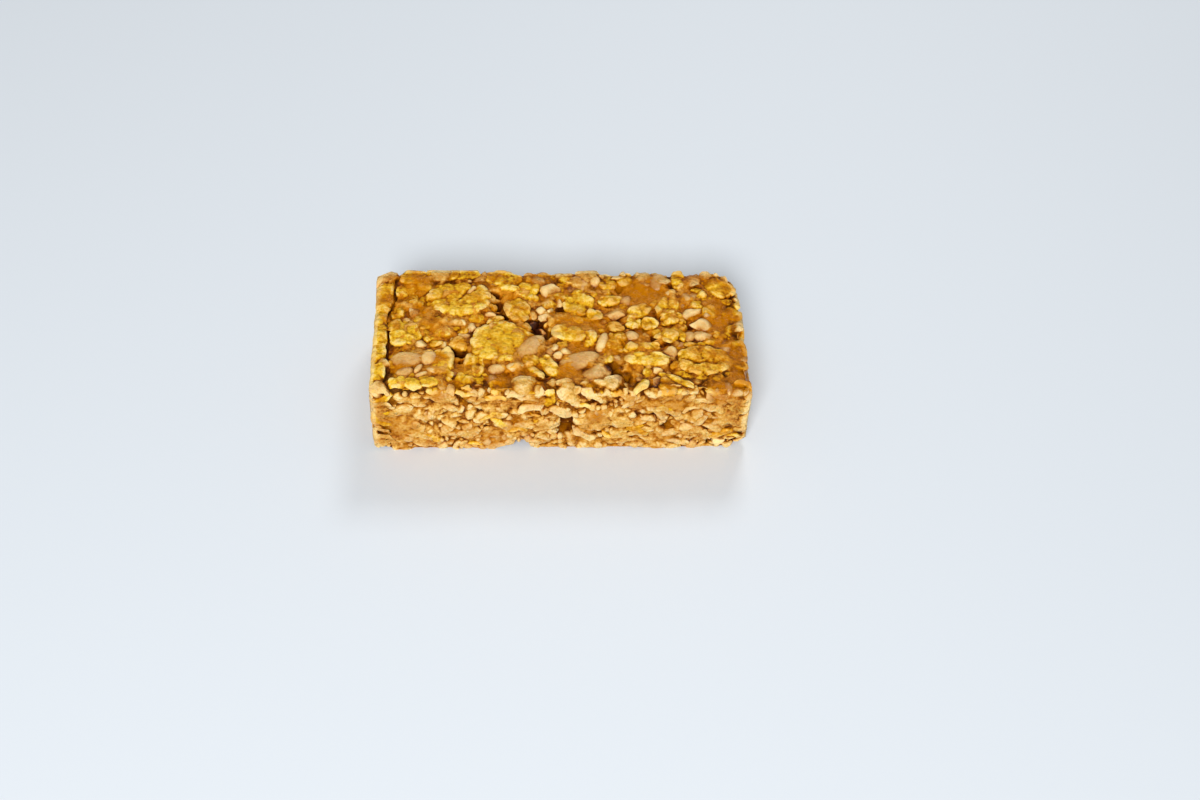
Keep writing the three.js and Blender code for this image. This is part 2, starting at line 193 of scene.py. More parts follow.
def copied(source, place, tone):
    piece = bpy.data.objects.new(source.name + "Copy", source.data.copy())
    bpy.context.collection.objects.link(piece)
    piece.data.transform(place)
    setValues(piece, "tone", tone)
    return piece


def bump(distance, width):  # 1 along the middle of a soft ridge, fading on both sides
    return math.exp(-((distance / width) ** 2))


def dip(distance, radius):  # 1 in the middle of a round dip, easing to 0 at its edge
    t = np.clip(1 - distance / radius, 0, 1)
    return t * t * (3 - 2 * t)


def noiseAt(points, size, seed):
    shift = Vector((seed, seed * 2, 0))
    return np.array([noise.noise(Vector(p) / size + shift) for p in points])


def crackAt(y):  # where the crack on the left runs, and half its width
    crack = layout["crack"]
    lean, (middle, reach, more) = crack["lean"], crack["wide"]
    waves = sum(share * np.sin(y * rate + phase) for rate, phase, share in crack["waves"])
    x = crack["x"] + lean["by"] * np.maximum(y - lean["from"], 0) / lean["over"]
    return x + crack["wander"] * waves, crack["halfWidth"] * (1 + more * dip(np.abs(y - middle), reach))


# The knife and the press leave four wavy sides and a top that little stands above.
knife = {
    "proud": {"left": 0.45, "right": 0.8, "front": 0.42, "back": 0.58},
    "wave": 0.35,
    "waveSize": 7.0,
    "soft": 0.4,
    "topLevel": -0.25,  # where the press leaves most of the top, against the bar's height
    "topSoft": 0.7,  # how far nuts and blisters may stand above that
    "topWave": 0.5,  # of the sides' wave
    "backRise": 0.3,
    "backReach": 14,
    "wornAcross": 0.6,  # how far a worn corner goes back across the bar, against along it
}
edges = {
    "round": 1.9,
    "back": 0.4,  # of that, behind
    "backFrom": 15,
    "vary": 1.6,
    "varySize": 5.0,
    "least": 0.5,
    "worn": {"x": 8, "reach": 15, "more": 2.0},
}


def eased(over, soft):  # what is left of a height that goes over the knife's plane
    return soft * (1 - np.exp(-over / soft))


def archReach(x, z):  # 0 in the middle of the hollow under the front, 1 at its edge
    arch = layout["frontArch"]
    across = np.where(x < arch["x"], (arch["x"] - x) / arch["left"], (x - arch["x"]) / arch["right"])
    return np.hypot(across, z / arch["height"])


def sideLimits(points):  # how far from the middle the knife's planes lie
    proud = knife["proud"]
    return (
        halfLength + np.where(points[:, 0] > 0, proud["right"], proud["left"]),
        halfWidth + np.where(points[:, 1] > 0, proud["back"], proud["front"]),
    )


def topLimit(points):
    return barTop + knife["topLevel"] + knife["backRise"] * dip(halfWidth - points[:, 1], knife["backReach"])


def trimmed(points):
    points = np.array(points)
    for x, y, z, reach, most in layout["wornCorners"]:
        depth = most * dip(np.linalg.norm(points - [x, y, z], axis=1), reach)
        points[:, 0] -= math.copysign(1, x) * depth
        points[:, 1] -= math.copysign(knife["wornAcross"], y) * depth
    wave = knife["wave"] * noiseAt(points, knife["waveSize"], seed=3)
    for axis, limit in enumerate(sideLimits(points)):
        out = np.abs(points[:, axis])
        over = np.maximum(out - (limit - knife["soft"] + wave), 0)
        points[:, axis] = np.sign(points[:, axis]) * (out - over + eased(over, knife["soft"]))
    over = np.maximum(points[:, 2] - topLimit(points) - wave * knife["topWave"], 0)
    points[:, 2] += eased(over, knife["topSoft"]) - over
    points[:, 2] = np.maximum(points[:, 2], 0)
    return roundedOff(points)


def roundedOff(points):  # breaks the top's edges and the four upright ones by an uneven radius
    radius = edges["round"] + edges["vary"] * noiseAt(points, edges["varySize"], seed=8)
    worn = edges["worn"]
    radius += worn["more"] * dip(np.abs(points[:, 0] - worn["x"]), worn["reach"]) * (points[:, 1] < 0)
    share = np.where(points[:, 1] > edges["backFrom"], edges["back"], 1)
    radius = np.maximum(radius * share, edges["least"])
    limits = (*sideLimits(points), topLimit(points) + knife["topSoft"] / 2)
    for first, second in ((1, 2), (0, 2), (0, 1)):
        across = np.abs(points[:, first]) - (limits[first] - radius)
        up = np.abs(points[:, second]) - (limits[second] - radius)
        reach = np.hypot(np.maximum(across, 0), np.maximum(up, 0))
        outside = (across > 0) & (up > 0) & (reach > radius)
        shrink = np.where(outside, 1 - radius / np.maximum(reach, tiny), 0)
        points[:, first] -= np.sign(points[:, first]) * np.maximum(across, 0) * shrink
        points[:, second] -= np.sign(points[:, second]) * np.maximum(up, 0) * shrink
    return points


cornflakes = {
    "thickness": 1.1,
    "cell": 0.5,
    "fewest": 6,  # cells along a side
    "square": (2.0, 2.6),  # 2 is an ellipse and more is nearer to a rectangle
    "outline": {"vary": 0.16, "rate": 1.2},
    "lobe": {"length": 4.4, "vary": 0.5, "rate": 1.4},
    "notch": {"share": 0.06, "depth": 0.5, "sharp": 0.6, "mean": 0.75},  # between two lobes
    "dome": 0.7,  # reach of a blister or pimple, against its size
    "blister": {"size": 4.4, "height": 0.6, "mean": 0.75, "vary": 0.9, "patch": 6},
    "seam": {"depth": 0.2, "width": 0.2},  # between two blisters
    "pimple": {"size": 2.2, "height": 0.16},
    "crinkle": {"size": 1.2, "height": 0.08},
    "curl": {"height": 0.6, "rate": 1.7},
    "rim": {"height": 0.14, "mean": 0.5, "vary": 1.2, "rate": 1.9, "at": 0.87, "width": 0.08},
    "drop": {"depth": 0.45, "from": 0.9, "over": 0.1},  # at the very edge
    "bow": 0.3,
    "dishReach": 0.75,
    "bubbleKeeps": 0.4,  # how much of the blisters still shows on a large bubble
    "slit": {"depth": 0.6, "width": 0.4},
    "ridgeWander": {"share": 1.5, "size": 7},
    "topDepth": 1.1,  # how far a flake's mean surface lies under the bar's top
    "places": [  # x, y, length, width, turn, tilt, lift, tone, and what else shapes it
        (-30.5, 14.4, 19.5, 16.5, 0, 2, 0.45, 0.85, {
            "bubbles": [  # x, y, radius, height
                (-7.2, 1.6, 3, 1.3), (-5, -5.2, 2.7, 0.95), (-1, -5.9, 2.5, 0.9), (3, -5.7, 2.5, 0.9),
                (6.5, -5, 2.4, 0.85), (-3.4, 3.6, 2.6, 0.8), (1.4, 4.2, 2.8, 0.75), (6.4, 0.4, 2.6, 0.8),
            ],
            "slits": [((3.0, 2.9), (-0.3, -2.1))]}),
        (-17, -4.8, 17.5, 16.5, 0, -2, 0.6, 1, {
            "bubbles": [
                (-6.1, 3.3, 2.5, 1), (-6.8, -1, 2.4, 0.9), (-4, -5.2, 2.7, 1), (2, 5.6, 2.6, 0.7),
                (0.4, -1, 3.2, 0.8), (-2.4, 2.4, 2.4, 0.7), (4.6, 1.8, 2.4, 0.7),
            ]}),
        (-12.5, 9.3, 11, 8, 98, 3, 0.35, 0.45),
        (2.7, -1.2, 11, 7.2, -6, -3, 0.5, 1, {"bow": 0.6}),
        (6.1, 11.8, 10, 9, 50, 2, 0.35, 1),
        (10.9, 7, 5, 4.8, 0, 2, 0.3, 0.85),
        (20.6, 22.6, 6, 5.5, 80, 2, 0.35, 0.7),
        (15.4, 21, 6.5, 6, 30, -2, 0.15, 0.6),
        (15.6, 13.4, 7.5, 4.8, 10, 3, 0.25, 0.8),
        (42.3, -12.8, 15.6, 12.6, -4, 2, 0.45, 0.3, {
            "bubbles": [
                (-5.4, -2.7, 2.6, 0.9), (-2.4, -4.4, 2.4, 0.9), (2, -4.2, 2.5, 0.9), (5.6, -2.8, 2.2, 0.9),
                (-3.4, 2.6, 2.6, 0.8), (1.2, 3.2, 2.6, 0.8), (4.6, 1.6, 2.2, 0.7),
            ],
            "slits": [((-6.3, 0.2), (-1.5, -1.6)), ((-1.5, -1.6), (1, -0.6)), ((1, -0.6), (5, -1.8))]}),
        (49.4, 20, 13.5, 8.5, 118, -2, 0.7, 0.4),
        (50.8, 13.6, 6, 3.4, -40, 3, 0.2, 0.9),
        (24.2, 8.6, 8.6, 5.6, 28, 3, 0.25, 0.8),
        (22.4, 3.6, 5.6, 5, 70, -3, 0.2, 0.75),
        (27.2, 3.4, 5.6, 5.4, 15, 3, 0.3, 0.8, {"dish": 0.4}),
        (33.2, 10.6, 9.4, 6.4, 58, -3, 0.35, 0.75),
        (33.4, 4.8, 6.5, 4.8, 20, 2, 0.2, 0.5),
        (32.8, -2, 6.4, 6, 40, 3, 0.3, 0.65),
        (25.6, -12.2, 13.6, 5.6, -4, 2, 0.35, 0.85, {"bow": 0.6}),
        (26.4, -6.6, 7, 4, -5, -3, 0.2, 0.5),
        (21, -7.2, 5, 4.2, 30, 4, 0.25, 0.8),
        (-46, -1.4, 10.4, 9.6, 10, -3, 0.5, 1),
        (-48.6, 8, 5.4, 4.6, 80, 3, 0.1, 0.6),
        (-40.8, -16.4, 19.4, 16.4, 0, 1, 0.5, 0.55, {"square": 3.2, "dish": 0.5, "bow": 0}),
        (-33.6, -14, 12.4, 5, 82, 6, 0.75, 0.85, {"bow": 0.5}),
        (-47.2, -22, 6, 4.6, 10, 0, 0.95, 1, {"bow": 0.8}),
        (-42.6, -22.4, 6, 4.6, -14, 0, 1.0, 1, {"bow": 0.8}),
        (-38, -22.2, 6, 4.4, 6, 0, 0.95, 1, {"bow": 0.8}),
        (-25.4, -14.6, 11, 6.4, 86, 3, 0.25, 0.6, {"ridges": (0, 2.6, 0.3)}),
        (-3.4, -14.6, 10, 4.6, 114, -3, 0.4, 0.85, {"bow": 0.5}),
        (-7.2, -17.3, 7.2, 2.8, -48, 4, 0.3, 0.85),
        (33.8, -21, 12.4, 3, -33, 4, 0.35, 0.95),
        (-33.6, 4.7, 8.4, 3.8, -4, 3, 0.25, 0.7),
        (-47.4, 17.4, 5.2, 4.6, 80, 3, 0.15, 0.9),
        (-46, 12.4, 5.2, 4.6, 10, -3, 0, 0.4),
        (-16.8, 23, 12, 7, -8, -2, 0.7, 0.65),
        (-15.6, 19, 9, 3, -22, 4, 0.55, 1),
        (-9.2, 18, 8, 7, 60, 3, 0.6, 1),
        (37, 22.4, 9, 4.6, 88, 2, 0.7, 0.75),
        (-43.6, 23.2, 10.5, 7, 6, 0, 0.9, 0.2),
        (-35.2, 24.2, 10.5, 5.6, -4, 0, 1.4, 0.5, {"square": 3}),
        (-28, 24.4, 8.6, 5.2, 8, 2, 1.4, 0.8, {"square": 2.8}),
        (-52.7, 17.5, 12, 5.6, 86, 3, 0.35, 0.8, {"square": 4, "bow": 0.8}),
        (-53, 10.2, 10.5, 5.4, 92, 4, 0.25, 0.4, {"square": 4, "bow": 0.8}),
        (-53.3, 3, 10.5, 5, 90, 3, 0.2, 0.85, {"square": 4, "bow": 0.8}),
        (-53.2, -4.5, 10.5, 5.2, 93, 4, 0.3, 0.8, {"square": 4, "bow": 0.8}),
        (-53.3, -12, 10.5, 5.4, 88, 3, 0.25, 0.9, {"square": 4, "bow": 0.8}),
        (-53.1, -19.6, 11.5, 5.4, 91, 3, 0.35, 1, {"square": 4, "bow": 0.8}),
    ],
}


def blisterHeight(spot):  # blisters with seams between them, pimples and fine crinkles
    blister, seam = cornflakes["blister"], cornflakes["seam"]
    pimple, crinkle = cornflakes["pimple"], cornflakes["crinkle"]
    near, second = noise.voronoi(spot / blister["size"])[0][:2]
    height = blister["height"] * (1 - (near / cornflakes["dome"]) ** 2)
    height *= blister["mean"] + blister["vary"] * noise.noise(spot / blister["patch"])
    height -= seam["depth"] * bump(second - near, seam["width"])
    near = noise.voronoi(spot / pimple["size"])[0][0]
    height += pimple["height"] * (1 - (near / cornflakes["dome"]) ** 2)
    return height + crinkle["height"] * noise.noise(spot / crinkle["size"])


def rimHeight(toRim, reach, lobe):  # the rim curls, stands up a little and drops at its very edge
    curl, rim, drop = cornflakes["curl"], cornflakes["rim"], cornflakes["drop"]
    height = -cornflakes["notch"]["depth"] * (1 - lobe) ** 3 * reach ** 3
    height += curl["height"] * reach ** 4 * noise.noise(toRim * curl["rate"] + Vector((0, 0, 9)))
    stand = rim["mean"] + rim["vary"] * noise.noise(toRim * rim["rate"] + Vector((0, 0, 4)))
    height += rim["height"] * stand * bump(reach - rim["at"], rim["width"])
    return height - drop["depth"] * max(0, (reach - drop["from"]) / drop["over"]) ** 2


def flakeShape(points, flake, seed):  # points of a square from -1 to 1 become a blistered flake
    draw = random.Random(seed)
    square = flake.get("square", draw.uniform(*cornflakes["square"]))
    lobe, notch, outline = cornflakes["lobe"], cornflakes["notch"], cornflakes["outline"]
    slit, wander = cornflakes["slit"], cornflakes["ridgeWander"]
    lobes = round(math.pi * (flake["length"] + flake["width"]) / 2 / lobe["length"])
    firstLobe = draw.uniform(0, math.tau)
    shaped = []
    for u, v, _ in points:
        across, along = u * math.sqrt(1 - v * v / 2), v * math.sqrt(1 - u * u / 2)
        reach, angle = math.hypot(across, along), math.atan2(along, across)
        toRim = Vector((math.cos(angle), math.sin(angle), seed))
        wandered = angle + lobe["vary"] * noise.noise(toRim * lobe["rate"])
        inLobe = abs(math.cos(wandered * lobes / 2 + firstLobe))
        out = (abs(toRim.x) ** square + abs(toRim.y) ** square) ** (-1 / square)
        notched = notch["share"] * (inLobe ** notch["sharp"] - notch["mean"])
        out *= 1 + notched + outline["vary"] * noise.noise(toRim * outline["rate"])
        x, y = across * out * flake["length"] / 2, along * out * flake["width"] / 2
        spot = Vector((x, y, seed * 7.3))
        height = blisterHeight(spot) + rimHeight(toRim, reach, inLobe)
        height += flake.get("bow", cornflakes["bow"]) * (1 - reach * reach)
        height -= flake.get("dish", 0) * dip(reach, cornflakes["dishReach"])
        if "ridges" in flake:
            turn, gap, rise = flake["ridges"]
            over = y * math.cos(math.radians(turn)) - x * math.sin(math.radians(turn))
            phase = wander["share"] * noise.noise(spot / wander["size"])
            height += rise * math.cos(math.tau * over / gap + phase)
        for bubbleX, bubbleY, radius, rise in flake.get("bubbles", ()):
            away = math.hypot(x - bubbleX, y - bubbleY) / radius
            if away < 1:
                bubble = height * cornflakes["bubbleKeeps"] + rise * math.sqrt(1 - away * away)
                height = max(height, bubble)
        for ends in flake.get("slits", ()):
            here, first, last = Vector((x, y)), Vector(ends[0]), Vector(ends[1])
            share = min(1, max(0, (here - first).dot(last - first) / (last - first).length_squared))
            height -= slit["depth"] * bump((here - first.lerp(last, share)).length, slit["width"])
        shaped.append((x, y, height))
    return shaped


def makeFlake(name, flake, cell, seed):
    across = max(cornflakes["fewest"], round(flake["length"] / cell))
    along = max(cornflakes["fewest"], round(flake["width"] / cell))
    bpy.ops.mesh.primitive_grid_add(x_subdivisions=across, y_subdivisions=along, size=2)
    plate = named(name)
    writePoints(plate, flakeShape(readPoints(plate) * mm, flake, seed))
    thickness = flake.get("thickness", cornflakes["thickness"])
    addModifier(plate, "SOLIDIFY", thickness=thickness * mm, offset=-1)
    return plate


def splitAtCrack(points):  # a piece on top ends at the crack, on the side where its middle is
    points = np.array(points)
    middle, half = crackAt(points[:, 1])
    side = 1 if points[:, 0].mean() > middle.mean() else -1
    edge = middle + side * half
    near = points[:, 1] < layout["crack"]["to"] + layout["crack"]["past"]
    points[near, 0] = (np.maximum if side > 0 else np.minimum)(points[near, 0], edge[near])
    return points


def flatPlace(piece, z):  # where a piece of the layout lies: turned, tipped and at a height
    tip = turned("Y", -piece.get("tilt", 0))
    return placedAt(piece["x"], piece["y"], z) @ turned("Z", piece["turn"]) @ tip


def makeTopFlakes(material):
    flakes = []
    for index, (x, y, length, width, turn, tilt, lift, tone, *more) in enumerate(cornflakes["places"]):
        flake = {"x": x, "y": y, "length": length, "width": width, "turn": turn, "tilt": tilt}
        flake.update(*more)
        plate = makeFlake("topFlake", flake, cornflakes["cell"], index + 1)
        place = flatPlace(flake, barTop - cornflakes["topDepth"] + lift)
        flakes.append(laid(plate, place, material, tone))
        writePoints(plate, splitAtCrack(readPoints(plate)))
    return joined(flakes, "cornflakes")


peanuts = {
    "height": 3.6,
    "shares": {"top": 0.62, "under": 0.4},  # of the height, over and under the widest place
    "taper": 0.18,
    "swell": {"share": 0.07, "rate": 1.3},
    "crease": {"depth": 0.12, "width": 0.16, "middle": 0.4},  # along the nut, shallower midway
    "depth": 2.8856,  # how far the widest place lies under the bar's top
    "chunk": {"swell": 1.15, "height": 4.2, "depth": 2.4, "flats": 7, "seed": 40},  # for broken ones
    "places": [  # x, y, length, width, turn, lift, tone, "chunk" for a broken one or what else shapes it
        (-8.8, -6.9, 12.6, 7.6, 52, 0.95, 0.35),
        (5.6, -12.8, 13.4, 7.2, 28, 0.95, 0.3, {"boxy": 0.85}),
        (10.2, -17, 8.8, 8.4, -12, 0.7, 0.45, "chunk"),
        (-5.3, 8.6, 3.6, 3.4, 30, 0.5, 1, "chunk"),
        (-3, 8.4, 3.2, 3.6, 70, 0.45, 1, "chunk"),
        (-4.4, 6.4, 3.6, 3, 0, 0.4, 0.95, "chunk"),
        (-18.4, -15.6, 7, 4.4, 8, 0.4, 0.6),
        (-13.2, -15.2, 6.6, 4, -4, 0.35, 0.75, "chunk"),
        (-1.1, -6.6, 3.4, 4, 0, 0.4, 1, "chunk"),
        (1.9, -9, 4, 3.2, 10, 0.4, 1, "chunk"),
        (-0.5, -10.4, 3.4, 3, 0, 0.3, 0.95, "chunk"),
        (12.9, -4.4, 9.4, 4.4, 76, 0.5, 1),
        (-44.6, -12.4, 11.4, 7.2, 6, 1.3, 0.4),
        (-38.4, -11.8, 6.4, 6, 84, 1.4, 0.8),
        (-45.2, -17.8, 6.4, 4.6, 24, 1.2, 0.35),
        (-41.4, -16.4, 5, 2.2, 62, 1.25, 0.5),
        (-40.4, -18.8, 5.2, 2.2, 28, 1.15, 0.6),
        (-37.6, -17.2, 4.4, 2.2, -36, 1.1, 0.7),
        (-8.2, 4.6, 5, 3, 30, -1.7, 0.1, "chunk"),
        (-5.4, 1.6, 4.4, 2.8, -50, -1.9, 0.1, "chunk"),
        (-31, -18, 4.6, 3.6, 70, 0.1, 0.3),
        (31, 21.8, 8, 7.2, 60, 1.1, 0.6),
        (11.4, 22, 6, 4.6, 86, 1.2, 1),
        (5.6, 21.4, 9.4, 8.4, 70, 1.0, 0.35, "chunk"),
        (-2.2, 18.2, 7, 6.4, 20, 0.9, 0.85, "chunk"),
        (-27.3, 21.4, 3.4, 2.4, 0, 0.75, 1),
        (-26.2, 17.6, 4.4, 3, 60, 0.8, 0.85, "chunk"),
        (40.4, 8.4, 7.2, 4.2, 28, 0.35, 0.9, "chunk"),
        (45.4, 6.6, 3.2, 2.8, 0, 0.3, 0.9, "chunk"),
        (42.8, 3.1, 6.4, 5.2, -10, 0.35, 0.9, "chunk"),
        (43.4, -1.6, 6.6, 4.6, 8, 0.3, 0.6, "chunk"),
        (48.8, -7, 8.4, 5.4, 75, 0.3, 0.35, "chunk"),
        (17.2, 7.8, 6.8, 5.6, 10, 0.1, 0.15, "chunk"),
        (34.6, 16.6, 4.6, 3.8, 50, 0.3, 0.8, "chunk"),
        (-28.8, 3.6, 3.4, 2.8, 70, 0.3, 1, "chunk"),
        (-26.4, 1.8, 3.6, 3.4, 0, 0.2, 0.7, "chunk"),
        (-41.4, -5.6, 4.4, 3.4, 20, 0.2, 0.9, "chunk"),
        (-44.4, 9, 2.6, 2.4, 0, 0.2, 0.9, "chunk"),
        (27.6, -21.6, 5.6, 5, 60, 0.1, 0.9, "chunk"),
        (9.6, -0.2, 4.6, 4, 30, 0.25, 0.5, "chunk"),
        (0.3, 12.6, 4.4, 3.6, 80, 0.3, 0.85, "chunk"),
        (40, 15, 7, 6, -35, 0.1, 0.2, "chunk"),
        (21.6, -2, 4.6, 4, 0, 0.2, 0.6, "chunk"),
        (28, -16.2, 3.8, 3.2, 0, 0.2, 0.95, "chunk"),
        (-20.8, 7, 4, 3, 0, 0, 0.5, "chunk"),
    ],
    "foot": {"place": (48.2, -24.3, 2.2), "size": (5.4, 4.4, 4.6), "flats": 6, "seed": 91, "tone": 1},
}


def makePeanut(name, nut, seed):
    bpy.ops.mesh.primitive_uv_sphere_add(segments=32, ring_count=16, radius=1)
    half = named(name)
    boxy = nut.get("boxy", 1)
    shares, swell, crease = peanuts["shares"], peanuts["swell"], peanuts["crease"]
    points = []
    for p in readPoints(half) * mm:
        p = Vector([math.copysign(abs(c) ** boxy, c) for c in p])
        fat = 1 + swell["share"] * noise.noise(p * swell["rate"] + Vector((seed, 0, 0)))
        width = nut["width"] / 2 * (1 - peanuts["taper"] * p.x) * fat
        height = peanuts["height"] * (shares["top"] if p.z > 0 else shares["under"])
        along = crease["middle"] + (1 - crease["middle"]) * abs(p.x)
        cut = crease["depth"] * bump(p.y, crease["width"]) * max(0, p.z) * along
        points.append((p.x * nut["length"] / 2 * fat, p.y * width, p.z * height * fat - cut))
    writePoints(half, points)
    return half


broken = {"cut": (0.55, 0.85), "uneven": 0.12, "rate": 2.2}  # the flat faces lie that far out


def makeChunk(name, size, flats, seed, level=3):  # a lump with broken, nearly flat faces
    draw = random.Random(seed)
    bpy.ops.mesh.primitive_ico_sphere_add(subdivisions=level, radius=1)
    chunk = named(name)
    cuts = []
    for _ in range(flats):
        normal = Vector([draw.gauss(0, 1) for _ in range(3)]).normalized()
        cuts.append((normal, draw.uniform(*broken["cut"])))
    points = []
    for p in readPoints(chunk) * mm:
        p = Vector(p)
        for normal, distance in cuts:
            p -= normal * max(0, p.dot(normal) - distance)
        p *= 1 + broken["uneven"] * noise.noise(p * broken["rate"] + Vector((seed, 0, 0)))
        points.append([value * side / 2 for value, side in zip(p, size)])
    writePoints(chunk, points)
    return chunk


def makeTopPeanuts(material):
    nuts, chunk = [], peanuts["chunk"]
    for index, (x, y, length, width, turn, lift, tone, *more) in enumerate(peanuts["places"]):
        nut = {"x": x, "y": y, "length": length, "width": width, "turn": turn}
        if "chunk" in more:
            size = (length * chunk["swell"], width * chunk["swell"], chunk["height"])
            piece = makeChunk("topPeanut", size, chunk["flats"], chunk["seed"] + index)
            under = chunk["depth"]
        else:
            nut.update(*more)
            piece = makePeanut("topPeanut", nut, index + 1)
            under = peanuts["depth"]
        nuts.append(laid(piece, flatPlace(nut, barTop - under + lift), material, tone))
    return nuts


def makeFootPeanut(material):  # the one that shows at the foot of the front face
    foot = peanuts["foot"]
    nut = makeChunk("footNut", foot["size"], foot["flats"], foot["seed"])
    return laid(nut, placedAt(*foot["place"]), material, foot["tone"])


# What shows best in the front face: whole flakes and pale lumps pressed flat against the knife.
frontPieces = {
    "flake": {"cell": 0.55, "bow": 0.3, "seed": 600},
    "lump": {"swell": 1.15, "depth": 3, "flats": 7, "sunk": 0.7, "seed": 700},
    "flakes": [  # x, z, length, height, lean, inset, tone: the ones that show their yellow face
        (-3.4, 20, 9.5, 4, 88, 0.6, 0.85), (-27.4, 22.4, 7, 4, 84, 0.8, 0.65), (53, 9, 5, 3, 80, 0.6, 0.7),
    ],
    "cutFlakes": [  # the same, for the ones cut through or turned away
        (9.6, 10.8, 11.5, 7.6, -12, 0.5, 0.9), (-47.8, 9.5, 12, 8, 86, 0.7, 0.1),
        (22.6, 18, 8, 4.4, 20, 0.8, 0.15), (42.6, 14, 5.4, 3, -30, 0.6, 0.95),
        (15.4, 3, 6.5, 3.6, 0, 0.6, 0.8), (35, 17.4, 7, 4.4, 15, 0.8, 0.25), (-14, 18, 8, 5, -15, 0.7, 0.5),
        (26.6, 19.4, 6, 4.4, 60, 0.8, 0.2), (-20, 7, 8, 4.4, 8, 0.7, 0.5), (30, 4.6, 8, 4, -6, 0.7, 0.6),
        (5, 19.4, 6.6, 5, 70, 0.8, 0.3),
    ],
    "lumps": [  # x, z, length, height, lean, inset, tone
        (-35, 13.2, 3.6, 3, 0, 0.6, 1), (-30.4, 14, 5.2, 4.2, 20, 0.7, 0.9), (-26, 14, 3.6, 5.2, 0, 0.5, 1),
        (-37.6, 17.6, 5.4, 3, 30, 0.6, 0.95), (-46.4, 21.2, 4.4, 3.4, 0, 0.6, 0.95),
        (-42, 21.4, 4, 3.2, 0, 0.6, 1), (-38, 22, 4.4, 3.4, 0, 0.6, 0.95), (19, 9.4, 6, 2.8, 12, 0.6, 1),
        (9, 3, 4.4, 4.6, 0, 0.6, 0.95), (37.8, 23, 5, 2.6, 10, 0.8, 1), (49.5, 11, 5, 3, 5, 0.6, 0.95),
        (-2.6, 7, 4.6, 2.8, -30, 0.6, 0.9), (32, 21, 5, 2.4, -20, 0.7, 0.9),
        (17.4, 15.6, 3.4, 4, 0, 0.6, 0.9), (-13, 15, 4, 3.6, 0, 0.6, 0.85),
        (26.6, 9.4, 4.6, 2.6, -40, 0.6, 0.9), (1.2, 7.2, 3, 3.4, 0, 4.6, 0),
    ],
}


def frontPlace(x, z, lean, inset):  # a flat piece stood up so that its top faces forwards
    return placedAt(x, -halfWidth + inset, z) @ turned("Y", -lean) @ turned("X", 90)


def makeFrontPieces(flakeMaterial, crumbMaterial):
    flakes, lumps = [], []
    placed, shape = frontPieces["flakes"] + frontPieces["cutFlakes"], frontPieces["flake"]
    for index, (x, z, length, height, lean, inset, tone) in enumerate(placed):
        flake = {"length": length, "width": height, "bow": shape["bow"]}
        plate = makeFlake("frontFlake", flake, shape["cell"], shape["seed"] + index)
        material = flakeMaterial if index < len(frontPieces["flakes"]) else crumbMaterial
        flakes.append(laid(plate, frontPlace(x, z, lean, inset), material, tone))
    shape = frontPieces["lump"]
    for index, (x, z, length, height, lean, inset, tone) in enumerate(frontPieces["lumps"]):
        size = (length * shape["swell"], height * shape["swell"], shape["depth"])
        lump = makeChunk("frontLump", size, shape["flats"], shape["seed"] + index)
        lumps.append(laid(lump, frontPlace(x, z, lean, inset + shape["sunk"]), crumbMaterial, tone))
    return flakes, lumps


